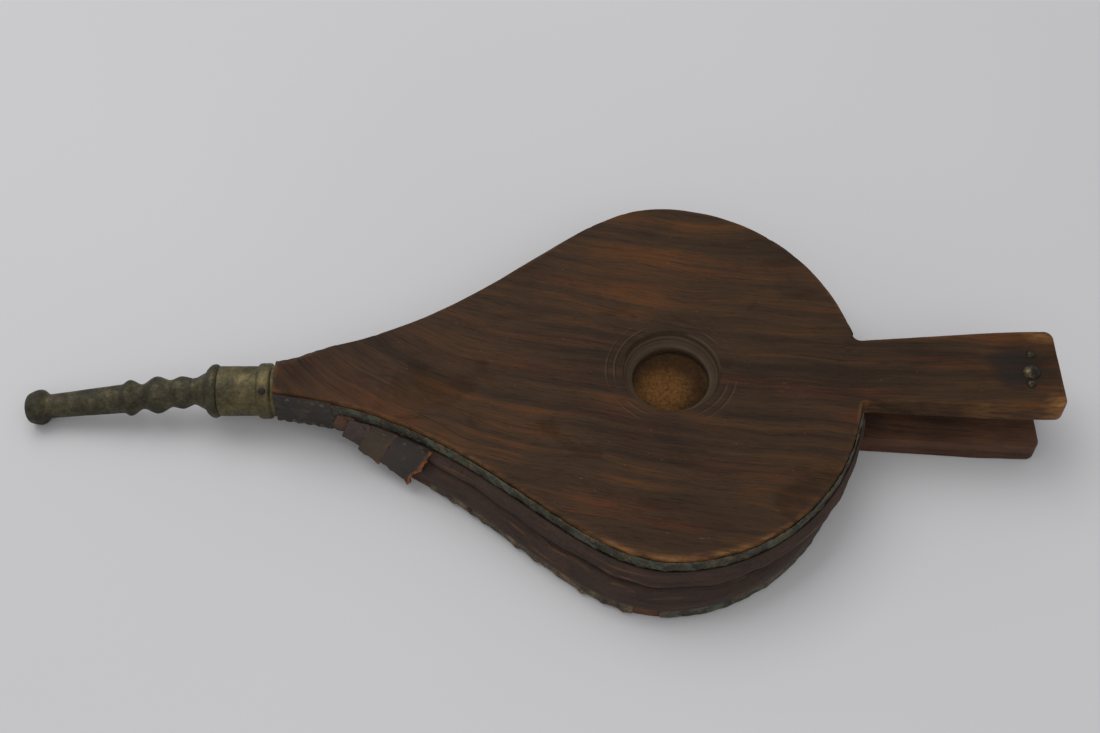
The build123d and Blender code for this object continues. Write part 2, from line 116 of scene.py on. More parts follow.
def smooth_curve(points, first_way, last_way, count):
    """Evenly spaced points on the clamped cubic curve through the given points."""
    p = np.array(points, float)
    h = np.linalg.norm(np.diff(p, axis=0), axis=1)
    n = len(p)
    a = np.zeros((n, n))
    b = np.zeros((n, 2))
    a[0, 0] = a[-1, -1] = 1
    b[0], b[-1] = first_way, last_way
    for i in range(1, n - 1):
        a[i, i - 1], a[i, i], a[i, i + 1] = 1 / h[i - 1], 2 / h[i - 1] + 2 / h[i], 1 / h[i]
        b[i] = 3 * ((p[i] - p[i - 1]) / h[i - 1] ** 2 + (p[i + 1] - p[i]) / h[i] ** 2)
    m = np.linalg.solve(a, b)
    out = []
    for i in range(n - 1):
        t = np.linspace(0, 1, 200, endpoint=False)[:, None]
        out.append((2 * t**3 - 3 * t**2 + 1) * p[i] + (t**3 - 2 * t**2 + t) * h[i] * m[i]
                   + (3 * t**2 - 2 * t**3) * p[i + 1] + (t**3 - t**2) * h[i] * m[i + 1])
    return even(np.vstack(out + [p[-1:]]), count)


def run_along(line):
    """Distance from the first point of a line to each of its points."""
    return np.concatenate([[0], np.cumsum(np.linalg.norm(np.diff(line, axis=0), axis=1))])


def even(line, count):
    """The same line with its points evenly spaced."""
    d = run_along(line)
    at = np.linspace(0, d[-1], count)
    return np.column_stack([np.interp(at, d, line[:, k]) for k in range(line.shape[1])])


def pear_side(grows=(0.0, 0.0, 0.0), count=600):
    """One side of the pear, nose to rear, as rows of s and y, grown at the crown, nose and rear."""
    grow, nose_grow, rear_grow = grows
    points = []
    for s, w, angle in FLANK:
        g = nose_grow + (grow - nose_grow) * s / CROWN_S
        points.append((s - g * sin(radians(angle)), w + g * cos(radians(angle))))
    points.append((CROWN_S, CROWN_W + grow))
    way = radians(FLANK[0][2])
    side = smooth_curve(points, (cos(way), sin(way)), (1, 0), 500)
    turn = np.linspace(pi / 2, 0, 400)[1:]
    rear = np.column_stack([CROWN_S + (REAR_REACH + rear_grow) * np.cos(turn), (CROWN_W + grow) * np.sin(turn)])
    return even(np.vstack([side, rear]), count)


def outward(line):
    """Unit directions pointing out of a side line, to the left of its run."""
    way = np.gradient(line, axis=0)
    way /= np.linalg.norm(way, axis=1)[:, None]
    return np.column_stack([-way[:, 1], way[:, 0]])


def board_side(end, grows, wider, front):
    """One side of a whole board, pear and handle, from its front end to the middle of its rear end."""
    side = pear_side(grows, 900)
    root, flare, last = ROOT_W + wider, FLARE_W + wider, FLARE_W + wider + 0.4

    def handle_w(s):
        return np.interp(s, [ROOT_S, FLARE_S, end], [root, flare, last])

    keep = (side[:, 0] >= front) & ((side[:, 0] < CROWN_S) | (side[:, 1] > handle_w(side[:, 0]) + 4.2))
    side = side[keep]
    turn = np.linspace(0.15, 1, 8)[:, None]
    start = side[-1]
    bend = np.array([start[0] + 1.0, handle_w(start[0]) + 0.2])
    stop = np.array([start[0] + 5.5, handle_w(start[0] + 5.5)])
    fillet = (1 - turn) ** 2 * start + 2 * turn * (1 - turn) * bend + turn**2 * stop
    straight_s = np.linspace(stop[0], end - 5, 60)[1:]
    straight = np.column_stack([straight_s, handle_w(straight_s)])
    corner = [(end - 5 + 5 * sin(a), last - 5 + 5 * cos(a)) for a in np.linspace(0, pi / 2 * 0.96, 9)[1:]]
    return np.vstack([side, fillet, straight, corner])


def wobble(x, y, z, scale, seed=0.0):
    """Smooth noise from about -1 to 1 at a place in millimetres, scale is the size of its lumps."""
    return noise.noise(Vector((x / scale + seed, y / scale + seed * 1.7, z / scale - seed)))


def clamp(v, low=0.0, high=1.0):
    return max(low, min(high, v))


def smoothstep(v, low, high):
    t = clamp((v - low) / (high - low))
    return t * t * (3 - 2 * t)


# ---------------- mesh helpers
def new_object(name, verts, faces, material, smooth_angle=40):
    mesh = bpy.data.meshes.new(name)
    mesh.from_pydata([tuple(v) for v in verts], [], faces)
    mesh.update()
    obj = bpy.data.objects.new(name, mesh)
    bpy.context.scene.collection.objects.link(obj)
    obj.data.materials.append(material)
    soften(obj, smooth_angle)
    return obj


def soften(obj, smooth_angle=40):
    """Smooth shading, with edges sharper than the angle kept sharp."""
    obj.data.shade_smooth()
    obj.data.set_sharp_from_angle(angle=radians(smooth_angle))


def grid_faces(columns, rows, start=0, closed=False):
    """Faces of a grid of vertices stored column by column."""
    faces = []
    for i in range(columns if closed else columns - 1):
        a, b = start + i * rows, start + ((i + 1) % columns) * rows
        faces += [(a + j, a + j + 1, b + j + 1, b + j) for j in range(rows - 1)]
    return faces


def store(obj, name, values):
    """Stores a number at every vertex. A thickened sheet has each value twice."""
    layer = obj.data.attributes.get(name) or obj.data.attributes.new(name, "FLOAT", "POINT")
    layer.data.foreach_set("value", [values[i % len(values)] for i in range(len(layer.data))])


def paint(obj, name, value):
    """Stores a number at every vertex; value is a function of the vertex's place in millimetres."""
    store(obj, name, [value(v.co * 1000) for v in obj.data.vertices])


def thicken(obj, thickness, offset=-1.0):
    """Gives a sheet its thickness in millimetres."""
    shell = obj.modifiers.new("thickness", "SOLIDIFY")
    shell.thickness = thickness * 0.001
    shell.offset = offset


def settle(obj):
    """Applies all of an object's modifiers to its mesh."""
    bpy.context.view_layer.update()
    graph = bpy.context.evaluated_depsgraph_get()
    mesh = bpy.data.meshes.new_from_object(obj.evaluated_get(graph))
    obj.modifiers.clear()
    obj.data = mesh


# ---------------- material helpers
class Shader:
    """A procedural material, built up node by node."""

    def __init__(self, name):
        self.material = bpy.data.materials.new(name)
        self.material.use_nodes = True
        self.tree = self.material.node_tree
        self.tree.nodes.clear()
        out = self.tree.nodes.new("ShaderNodeOutputMaterial")
        self.surface = self.tree.nodes.new("ShaderNodeBsdfPrincipled")
        self.tree.links.new(self.surface.outputs[0], out.inputs[0])
        place = self.tree.nodes.new("ShaderNodeTexCoord")
        self.place = self.scaled(place.outputs["Object"], 1000)

    def plug(self, socket, value):
        if hasattr(value, "links"):
            self.tree.links.new(value, socket)
        else:
            socket.default_value = value

    def node(self, kind, inputs, **settings):
        """A new node. inputs has a link or a plain value for each socket named."""
        made = self.tree.nodes.new("ShaderNode" + kind)
        for name, value in settings.items():
            setattr(made, name, value)
        for socket, value in inputs.items():
            self.plug(made.inputs[socket], value)
        return made

    def scaled(self, vector, scale):
        """The vector times one number, or times one for each axis."""
        scale = scale if isinstance(scale, tuple) else (scale, scale, scale)
        return self.node("VectorMath", {0: vector, 1: scale}, operation="MULTIPLY").outputs[0]

    def moved(self, vector, offset):
        return self.node("VectorMath", {0: vector, 1: offset}, operation="ADD").outputs[0]

    def joined(self, x, y, z=0.0):
        return self.node("CombineXYZ", {0: x, 1: y, 2: z}).outputs[0]

    def distance(self, centre, scale):
        away = self.scaled(self.moved(self.place, tuple(-c for c in centre)), scale)
        return self.node("VectorMath", {0: away}, operation="LENGTH").outputs["Value"]

    def noise(self, scale, detail=4.0, rough=0.55, warp=0.0, place=None, seed=0.0):
        source = self.scaled(self.place if place is None else place, scale)
        source = self.moved(source, (seed, seed * 0.7, -seed))
        inputs = {"Vector": source, "Scale": 1.0, "Detail": detail, "Roughness": rough, "Distortion": warp}
        return self.node("TexNoise", inputs).outputs["Fac"]

    def noise_colour(self, scale):
        source = self.scaled(self.place, scale)
        return self.node("TexNoise", {"Vector": source, "Scale": 1.0, "Detail": 3.0}).outputs["Color"]

    def cells(self, scale, feature="F1", place=None):
        source = self.scaled(self.place if place is None else place, scale)
        return self.node("TexVoronoi", {"Vector": source, "Scale": 1.0}, feature=feature).outputs["Distance"]

    def painted(self, name):
        return self.node("Attribute", {}, attribute_name=name).outputs["Fac"]

    def math(self, operation, a, b=0.0, c=None):
        inputs = {0: a, 1: b} if c is None else {0: a, 1: b, 2: c}
        return self.node("Math", inputs, operation=operation).outputs[0]

    def times(self, a, b):
        return self.math("MULTIPLY", a, b)

    def plus(self, a, b):
        return self.math("ADD", a, b)

    def apart(self, a, b):
        return self.math("ABSOLUTE", self.math("SUBTRACT", a, b))

    def span(self, value, low, high, to_low=0.0, to_high=1.0):
        """Maps low..high to 0..1, or to the given ends, with a smooth ramp."""
        inputs = {"Value": value, "From Min": low, "From Max": high, "To Min": to_low, "To Max": to_high}
        return self.node("MapRange", inputs, interpolation_type="SMOOTHSTEP").outputs["Result"]

    def ramp(self, value, stops):
        node = self.node("ValToRGB", {0: value})
        band = node.color_ramp
        while len(band.elements) < len(stops):
            band.elements.new(0.5)
        for element, (position, colour) in zip(band.elements, stops):
            element.position = position
            element.color = (*colour, 1)
        return node.outputs[0]

    def mix(self, share, a, b):
        a, b = (c if hasattr(c, "links") else (*c, 1) for c in (a, b))
        return self.node("Mix", {"Factor": share, 6: a, 7: b}, data_type="RGBA").outputs[2]

    def bump(self, height, distance, strength=1.0, under=None):
        inputs = {"Distance": distance * 0.001, "Strength": strength, "Height": height}
        if under is not None:
            inputs["Normal"] = under
        return self.node("Bump", inputs).outputs[0]

    def finish(self, colour, rough, normal=None, metal=0.0, **extra):
        self.plug(self.surface.inputs["Base Color"], colour)
        self.plug(self.surface.inputs["Roughness"], rough)
        self.plug(self.surface.inputs["Metallic"], metal)
        if normal is not None:
            self.plug(self.surface.inputs["Normal"], normal)
        for name, value in extra.items():
            self.surface.inputs[name.replace("_", " ")].default_value = value
        return self.material


def srgb(r, g, b):
    """Linear colour of an 8-bit display colour."""
    return tuple((v / 255 / 12.92) if v <= 10 else ((v / 255 + 0.055) / 1.055) ** 2.4 for v in (r, g, b))


# ---------------- materials
def wood(name, dark, base, streak, red, sweep, seed, wear_colour):
    """Old oiled hardwood: soft streaks and fibres that sweep across the nose and run straight behind it."""
    m = Shader(name)
    split = m.node("SeparateXYZ", {0: m.place})
    s = m.plus(split.outputs[0], -NOSE_X)
    fall = m.times(m.math("EXPONENT", m.math("DIVIDE", s, -68.0)), sweep)
    fall = m.math("MULTIPLY_ADD", s, -0.08, fall)
    bend = m.noise((0.008, 0.014, 0.014), 2.0, 0.5, seed=seed)
    across = m.math("MULTIPLY_ADD", bend, 26.0, m.math("SUBTRACT", split.outputs[1], fall))
    flow = m.joined(s, across, split.outputs[2])
    bands = m.noise((0.007, 0.15, 0.15), 4.0, 0.6, place=flow, seed=seed + 1.0)
    fibre = m.noise((0.022, 0.9, 0.9), 5.0, 0.65, place=flow, seed=seed + 3.1)
    fine = m.noise((0.07, 3.4, 3.4), 3.0, 0.6, place=flow, seed=seed + 7.7)
    broad = m.noise((0.013, 0.02, 0.02), 3.0, 0.55, seed=seed + 1.3)
    tone = m.math("MULTIPLY_ADD", bands, 0.5, m.times(fibre, 0.2))
    tone = m.plus(tone, m.math("MULTIPLY_ADD", broad, 0.36, m.math("MULTIPLY_ADD", fine, 0.12, -0.09)))
    colour = m.ramp(tone, [(0.4, dark), (0.53, base), (0.66, streak)])
    reddish = m.span(m.noise((0.009, 0.06, 0.06), 3.0, 0.6, place=flow, seed=seed + 15), 0.5, 0.66)
    reddish = m.times(reddish, m.span(fibre, 0.4, 0.62))
    colour = m.mix(m.times(reddish, 0.45), colour, red)
    pores = m.span(m.noise((0.1, 3.0, 3.0), 2.0, 0.5, place=flow, seed=seed + 11.0), 0.6, 0.7)
    colour = m.mix(m.times(pores, 0.4), colour, tuple(c * 0.4 for c in dark))
    line = m.apart(m.noise((0.006, 0.09, 0.09), 2.0, 0.5, place=flow, seed=seed + 19), 0.5)
    line = m.times(m.span(line, 0.012, 0.0), m.span(m.noise(0.02, 2.0, seed=seed), 0.5, 0.62))
    colour = m.mix(m.times(line, 0.45), colour, tuple(c * 0.45 for c in dark))
    stain = m.span(m.noise((0.022, 0.034, 0.034), 5.0, 0.6, 0.6, seed=seed + 5.5), 0.54, 0.72)
    colour = m.mix(m.times(stain, 0.35), colour, tuple(c * 0.55 for c in dark))
    flecks = m.span(m.noise((0.4, 0.9, 0.9), 2.0, 0.5, seed=21.0), 0.735, 0.775)
    colour = m.mix(m.times(flecks, 0.5), colour, wear_colour)
    grime = m.painted("grime")
    patchy = m.span(m.noise((0.06, 0.12, 0.12), 4.0, 0.65, seed=9.0), 0.3, 0.6, 0.55, 1.0)
    colour = m.mix(m.times(grime, patchy), colour, tuple(c * 0.35 for c in dark))
    worn = m.span(m.noise((0.07, 0.3, 0.3), 5.0, 0.7, seed=2.2), 0.38, 0.62, 0.15, 1.0)
    colour = m.mix(m.times(worn, m.painted("wear")), colour, wear_colour)
    rough = m.span(m.plus(m.times(fibre, 0.5), m.times(stain, 0.5)), 0.2, 0.9, 0.52, 0.75)
    relief = m.plus(m.times(fibre, 0.5), m.times(pores, -1.0))
    relief = m.plus(relief, m.times(line, -1.2))
    lumps = m.noise((0.02, 0.05, 0.05), 3.0, 0.5, seed=4.0)
    normal = m.bump(lumps, 0.9, 0.5)
    normal = m.bump(relief, 0.12, 0.7, normal)
    return m, colour, rough, normal


def upper_wood():
    dark, base, streak, red = srgb(42, 29, 19), srgb(59, 41, 25), srgb(86, 51, 22), srgb(84, 40, 20)
    m, colour, rough, normal = wood("old_wood_upper", dark, base, streak, red, 82.0, 3.0, srgb(132, 91, 53))
    # turned lines round the air hole, each a bumped groove with painted shade in it and a painted highlight on its
    # outer lip, and its dished wall, dusty with fine turning marks
    hole = upper_point(HOLE_S, 0, 0) * 1000
    round_hole = m.distance(tuple(hole), (1, 1, 0))
    broken = m.span(m.noise(0.05, 2.0, 0.5, seed=6.0), 0.42, 0.6)
    for ring_r, share in ((29.2, 1.0), (33.4, 0.8)):
        # painted shade fills each groove; a painted highlight runs just outside it
        groove_shade = m.times(m.span(m.apart(round_hole, ring_r), 0.6, 0.0), broken)
        groove_lip_highlight = m.span(m.apart(round_hole, ring_r + 1.0), 0.55, 0.0)
        colour = m.mix(m.times(groove_shade, 0.55 * share), colour, srgb(34, 24, 18))
        colour = m.mix(m.times(m.times(groove_lip_highlight, broken), 0.3 * share), colour, srgb(112, 88, 62))
        normal = m.bump(m.times(groove_shade, -1.0), 0.25, 0.7, normal)
    inside = m.span(round_hole, 25.9, 24.9)
    turning = m.noise((0.0, 0.0, 1.6), 3.0, 0.6, seed=2.0)
    dusty = m.ramp(turning, [(0.35, srgb(52, 42, 33)), (0.62, srgb(92, 78, 62))])
    colour = m.mix(m.times(inside, 0.8), colour, dusty)
    lip = m.span(m.apart(round_hole, 25.7), 0.7, 0.1)
    lip = m.times(lip, m.span(m.noise(0.03, 2.0, 0.5, seed=8.0), 0.42, 0.62))
    colour = m.mix(m.times(lip, 0.5), colour, srgb(104, 92, 74))
    halo = m.times(m.span(round_hole, 38.0, 26.0), m.span(m.noise(0.05, 3.0), 0.35, 0.65))
    colour = m.mix(m.times(halo, 0.3), colour, srgb(44, 31, 23))
    # wood gone black round the studs at the end of the handle
    by_studs = m.distance(tuple(upper_point(STUD_S - 7.0, 0.5, 0) * 1000), (1, 1, 0))
    blurred = m.math("MULTIPLY_ADD", m.noise((0.05, 0.12, 0.12), 4.0, 0.6, seed=12.0), 14.0, by_studs)
    colour = m.mix(m.span(blurred, 25.0, 15.0, 0.0, 0.75), colour, srgb(34, 28, 24))
    return m.finish(colour, rough, normal, Specular_IOR_Level=0.1)


def lower_wood():
    dark, base, streak, red = srgb(54, 38, 30), srgb(84, 60, 47), srgb(106, 72, 51), srgb(100, 58, 42)
    m, colour, rough, normal = wood("old_wood_lower", dark, base, streak, red, 20.0, 40.0, srgb(124, 84, 56))
    return m.finish(colour, rough, normal, Specular_IOR_Level=0.1)


def plain_wood():
    m = Shader("bent_ash")
    fibre = m.noise((0.05, 1.2, 1.2), 5.0, 0.6)
    colour = m.ramp(fibre, [(0.3, srgb(92, 66, 42)), (0.7, srgb(160, 124, 84))])
    return m.finish(colour, 0.7, m.bump(fibre, 0.15))


def leather(name, dark, mid, worn_colour, worn_low, folded=False):
    """Old dry leather: fine grain, a web of cracks, and lighter rubbed places."""
    m = Shader(name)
    dark, mid, worn_colour = srgb(*dark), srgb(*mid), srgb(*worn_colour)
    warp = m.moved(m.place, m.scaled(m.noise_colour(0.08), 6))
    grain_cells = m.cells(1.3, "SMOOTH_F1", place=warp)
    cracks = m.cells((0.16, 0.16, 0.34), "DISTANCE_TO_EDGE", place=warp)
    crack_mask = m.times(m.span(cracks, 0.05, 0.0), m.span(m.noise(0.04, 3.0), 0.4, 0.6))
    broad = m.noise((0.03, 0.03, 0.06), 5.0, 0.6, 0.4, seed=2.0)
    speckle = m.noise(0.7, 3.0, 0.6, seed=8.0)
    tone = m.plus(m.times(broad, 0.75), m.times(speckle, 0.25))
    colour = m.ramp(tone, [(0.32, dark), (0.62, mid)])
    if folded:
        sheet = m.joined(m.painted("run"), m.painted("high"))
        streaks = m.noise((0.03, 0.55, 0.0), 5.0, 0.68, 0.3, place=sheet, seed=12.0)
        # painted shade in fine creases along the fold, which have no relief of their own
        crease_shade = m.noise((0.05, 1.1, 0.0), 4.0, 0.6, 0.6, place=sheet, seed=31.0)
        colour = m.mix(m.span(crease_shade, 0.5, 0.7, 0.0, 0.5), colour, tuple(c * 0.4 for c in dark))
    else:
        streaks = m.noise((0.09, 0.09, 0.14), 5.0, 0.7, 0.5, seed=12.0)
    rubbed = m.times(m.span(streaks, worn_low, worn_low + 0.12), m.painted("rub"))
    colour = m.mix(rubbed, colour, worn_colour)
    colour = m.mix(m.times(crack_mask, 0.35), colour, tuple(c * 0.4 for c in dark))
    rough = m.span(tone, 0.3, 0.7, 0.55, 0.75)
    height = m.plus(m.times(grain_cells, 0.35), m.times(speckle, 0.35))
    height = m.plus(height, m.times(crack_mask, -0.6))
    folds = m.noise((0.12, 0.12, 0.05), 3.0, 0.55, 1.0, seed=15.0)
    normal = m.bump(folds, 1.4, 0.55)
    normal = m.bump(height, 0.22, 0.8, normal)
    return m, colour, rough, normal


def brass(name, dark, mid, bright, green, green_low, metal, rough_low):
    """Tarnished brass: dark patina, brighter rubbed places, verdigris and small pits."""
    m = Shader(name)
    dark, mid, bright, green = srgb(*dark), srgb(*mid), srgb(*bright), srgb(*green)
    broad = m.noise(0.11, 5.0, 0.65, 0.3, seed=1.0)
    fine = m.noise(0.8, 4.0, 0.65, seed=4.0)
    tone = m.plus(m.times(broad, 0.65), m.times(fine, 0.35))
    colour = m.ramp(tone, [(0.34, dark), (0.5, mid), (0.68, bright)])
    pits = m.span(m.cells(0.42), 0.24, 0.08)
    pits = m.times(pits, m.span(m.noise(0.07, 3.0, seed=9.0), 0.5, 0.62))
    colour = m.mix(m.times(pits, 0.8), colour, tuple(c * 0.3 for c in dark))
    crust = m.span(m.noise(0.16, 6.0, 0.7, 0.5, seed=6.0), green_low, green_low + 0.12)
    colour = m.mix(crust, colour, green)
    shine = m.times(m.math("SUBTRACT", 1.0, crust), metal)
    rough = m.plus(m.span(tone, 0.3, 0.7, rough_low + 0.22, rough_low), m.times(crust, 0.25))
    height = m.plus(m.times(fine, 0.4), m.times(pits, -1.0))
    height = m.plus(height, m.times(crust, 0.4))
    normal = m.bump(height, 0.25, 0.7)
    return m.finish(colour, rough, normal, shine)


def plain_floor():
    m = Shader("pale_floor")
    tone = m.noise(0.002, 2.0, 0.5)
    colour = m.ramp(tone, [(0.3, srgb(198, 197, 198)), (0.7, srgb(202, 201, 202))])
    return m.finish(colour, 0.85, Specular_IOR_Level=0.2)


WOOD_UPPER = upper_wood()
WOOD_LOWER = lower_wood()
WOOD_ASH = plain_wood()
m, *look = leather("gusset_leather", (40, 30, 25), (66, 49, 40), (104, 68, 40), 0.55, folded=True)
LEATHER_FOLD = m.finish(*look, Specular_IOR_Level=0.22)
m, *look = leather("nose_leather", (30, 26, 24), (56, 49, 44), (74, 70, 58), 0.51)
LEATHER_NOSE = m.finish(*look, Specular_IOR_Level=0.25)


def patch_leather(name, dark, mid):
    m, colour, rough, normal = leather(name, dark, mid, (104, 72, 48), 0.54)
    torn = m.times(m.painted("torn"), m.span(m.noise(0.3, 4.0, 0.7, seed=3.3), 0.35, 0.55))
    colour = m.mix(torn, colour, srgb(122, 68, 32))
    return m.finish(colour, rough, normal, Specular_IOR_Level=0.25)


PATCH_RED = patch_leather("patch_leather_red", (58, 40, 32), (92, 62, 48))
PATCH_GREY = patch_leather("patch_leather_grey", (46, 37, 36), (76, 62, 58))
PATCH_OLIVE = patch_leather("patch_leather_olive", (46, 38, 31), (72, 60, 48))
PATCH_DARK = patch_leather("patch_leather_dark", (36, 32, 30), (58, 51, 47))
BAND = brass("band_brass", (30, 27, 23), (58, 54, 43), (116, 102, 68), (72, 80, 66), 0.5, 0.3, 0.58)
BAND_BROWN = brass("band_brass_brown", (34, 29, 24), (76, 64, 48), (136, 112, 80), (84, 84, 66), 0.56, 0.25, 0.6)
NOZZLE = brass("nozzle_brass", (34, 31, 21), (58, 53, 36), (96, 85, 52), (66, 68, 50), 0.6, 0.5, 0.46)
FERRULE = brass("ferrule_brass", (44, 40, 25), (76, 68, 42), (112, 98, 58), (80, 82, 56), 0.62, 0.5, 0.46)
TACKS = brass("brass_tacks", (42, 36, 28), (72, 60, 42), (120, 96, 60), (76, 82, 70), 0.52, 0.5, 0.48)
STUD = brass("stud_brass", (24, 21, 18), (46, 40, 32), (104, 90, 62), (62, 62, 52), 0.66, 0.75, 0.34)
IRON = brass("iron_nails", (26, 22, 20), (48, 40, 36), (74, 60, 50), (84, 50, 30), 0.6, 0.5, 0.55)


def hair_material():
    m = Shader("hair_leather")
    tone = m.noise(0.5, 3.0, 0.6, seed=2.0)
    colour = m.ramp(tone, [(0.3, srgb(88, 60, 33)), (0.7, srgb(132, 92, 50))])
    # painted shade: the hair darkens towards the wall of the hole that shades it, round a middle set off towards the
    # nose and the near side
    middle = upper_point(HOLE_S - 3, -4, THICK) * 1000
    edge = m.span(m.distance(tuple(middle), (1, 1, 0)), 6.0, 19.0)
    colour = m.mix(m.times(edge, 0.8), colour, srgb(48, 36, 26))
    return m.finish(colour, 0.9, Specular_IOR_Level=0.08)


HAIR = hair_material()


# ---------------- boards
def edge_distance(points, loop):
    """Distance of every point from a closed line, both in millimetres on the board's plane."""
    best = np.full(len(points), 1e9)
    for a, b in zip(loop, np.roll(loop, -1, axis=0)):
        ab = b - a
        t = np.clip(((points - a) @ ab) / max(ab @ ab, 1e-9), 0, 1)
        best = np.minimum(best, np.linalg.norm(points - (a + t[:, None] * ab), axis=1))
    return best


def board(name, side, end, to_frame, round_edge, seed, material):
    """A board with worn, slightly uneven edges. to_frame takes s, y and the depth below its top."""
    ends = np.array([(end - d, np.interp(end - d, side[:, 0], side[:, 1])) for d in (0.25, 0.0)])
    ends[:, 1] = side[-1, 1] - np.array([0.3, 0.9])
    columns = np.vstack([side, ends])
    fixed = [0, 0.25, 0.6, 1.1, 2.0, 3.5, 6.0]
    inner = 22
    plan = []
    for s, w in columns:
        edge = [w - min(d, 0.06 * w * (k + 1)) for k, d in enumerate(fixed)]
        half = edge + [edge[-1] * (1 - (k + 1) / (inner + 1)) for k in range(inner)]
        row = half + [0.0] + [-y for y in reversed(half)]
        plan.append([(s, y) for y in row])
    rows = len(plan[0])
    flat = np.array(plan).reshape(-1, 2)
    last_w = side[-1, 1]
    loop = np.vstack([side, [(end, last_w), (end, -last_w)], side[::-1] * (1, -1)])
    gap = edge_distance(flat, loop)
    verts = []
    for bottom in (False, True):
        for (s, y), d in zip(flat, gap):
            r = round_edge * (1.0 + 0.7 * wobble(s, y, 0, 14, seed))
            r += 1.2 * max(0, wobble(s, y, 3, 5, seed + 4) - 0.42)
            r = clamp(r, 0.25, 2.4)
            drop = r - sqrt(max(0.0, r * r - (r - d) ** 2)) if d < r else 0.0
            drop += 0.12 * wobble(s, y, 0, 30, seed + 2)
            depth = THICK - drop if bottom else drop
            verts.append(to_frame(s, y, clamp(depth, 0.02, THICK - 0.02)))
    count = len(flat)
    cols = len(columns)
    top = grid_faces(cols, rows)
    faces = [tuple(reversed(f)) for f in top] + [tuple(i + count for i in f) for f in top]
    border = [i * rows for i in range(cols)] + [(cols - 1) * rows + j for j in range(1, rows)]
    border += [i * rows + rows - 1 for i in range(cols - 2, -1, -1)] + [j for j in range(rows - 2, 0, -1)]
    for a, b in zip(border, border[1:] + border[:1]):
        faces.append((a, b, b + count, a + count))
    obj = new_object(name, verts, faces, material, 50)
    return obj, loop


def hole_cutter():
    """The turned space of the air hole, with its rounded rim and dished wall."""
    profile = [(0, 1.5), (26.9, 1.5), (26.5, 0.02), (25.9, -0.3), (25.4, -1.0), (24.9, -2.2), (24.1, -4.0),
               (23.0, -5.8), (21.8, -7.0), (20.9, -7.5), (20.4, -7.9), (20.2, -8.6), (20.2, -11.6),
               (20.6, -12.2), (21.4, -12.6), (21.4, -14), (0, -14)]
    count = 96
    verts = []
    for i in range(count):
        a = 2 * pi * i / count
        verts += [upper_point(HOLE_S + r * cos(a), r * sin(a), -h) for r, h in profile]
    rows = len(profile)
    faces = grid_faces(count, rows, closed=True)
    cutter = new_object("hole_cutter", verts, faces, WOOD_UPPER)
    work = bmesh.new()
    work.from_mesh(cutter.data)
    bmesh.ops.remove_doubles(work, verts=work.verts, dist=1e-7)
    bmesh.ops.recalc_face_normals(work, faces=work.faces)
    work.to_mesh(cutter.data)
    work.free()
    return cutter


def near(p, x, y, reach_x, reach_y):
    """1 at a place in millimetres, fading to 0 at the reach."""
    return clamp(1.25 - sqrt(((p.x - x) / reach_x) ** 2 + ((p.y - y) / reach_y) ** 2) * 1.25)


upper_side = board_side(UPPER_END, (0, 0, 0), 0, NOSE_FRONT)
valve_board, upper_loop = board("valve_board_worn", upper_side, UPPER_END, upper_point, 0.9, 1.0, WOOD_UPPER)
cutter = hole_cutter()
cut = valve_board.modifiers.new("hole", "BOOLEAN")
cut.operation = "DIFFERENCE"
cut.solver = "EXACT"
cut.object = cutter
settle(valve_board)
bpy.data.objects.remove(cutter)
soften(valve_board, 50)


def upper_plan(p):
    """s and y of a frame point, in millimetres, on the upper board."""
    return np.array([(p.x - NOSE_X) * cos(radians(TILT)) + (p.z - NOSE_TOP) * sin(radians(TILT)), p.y])


plan_points = np.array([upper_plan(v.co * 1000) for v in valve_board.data.vertices])
wears, dirts = [], []
for (s, y), d in zip(plan_points, edge_distance(plan_points, upper_loop)):
    place = Vector((s, y, 0))
    near_edge = 0.8 * clamp(1 - d / 3.6) * clamp(0.75 + wobble(s, y, 0, 12, 7.0))
    gold = near_edge * near(place, 212, -108, 78, 30)
    gold += clamp(1 - d / 2.2) * 0.5 * clamp(0.6 + wobble(s, y, 0, 25, 5.0))
    gold += 0.9 * near(place, 408, -22, 12, 8) + 0.8 * near(place, 406, 22, 14, 7)
    wears.append(clamp(gold))
    dirt = 0.6 * near(place, 395, 4, 24, 22) + 0.6 * clamp(1 - d / 3.0) * clamp(0.3 + wobble(s, y, 0, 18, 9.0))
    dirt += 0.5 * near(place, 6, 0, 20, 20)
    dirts.append(clamp(dirt))
store(valve_board, "wear", wears)
store(valve_board, "grime", dirts)

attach(valve_board, "upper_side")
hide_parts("valve_board")


def narrow_nose(obj, amount):
    """Draws in the far side of a piece at the nose, where the board is worn narrower."""
    for v in obj.data.vertices:
        s, y = upper_plan(v.co * 1000)
        if y > 0 and s < 30:
            ragged = 1 + 0.2 * wobble(s, y, 0, 4, 2.0)
            v.co.y -= 0.001 * amount * clamp((30 - s) / 24) ** 1.4 * smoothstep(y, 3, 11) * ragged


narrow_nose(valve_board, NOSE_WORN)


def lower_from_top(s, y, depth):
    return lower_point(s, y, THICK - depth)


lower_front = LOWER_FRONT - LOWER_SHIFT
lower_side = board_side(LOWER_END, LOWER_GROWS, LOWER_WIDER, lower_front)
front_w = np.interp(lower_front, lower_side[:, 0], lower_side[:, 1])
lower_side = np.vstack([[(lower_front, front_w)], lower_side])
lower_board, _ = board("lower_board_worn", lower_side, LOWER_END, lower_from_top, 1.0, 7.0, WOOD_LOWER)
paint(lower_board, "wear", lambda p: 0.25 * clamp(0.5 + wobble(p.x, p.y, p.z, 20, 3.0)))
paint(lower_board, "grime", lambda p: 0.3 * clamp(0.2 + wobble(p.x, p.y, p.z, 30, 6.0)))
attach(lower_board, "lower_side")
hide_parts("lower_board")

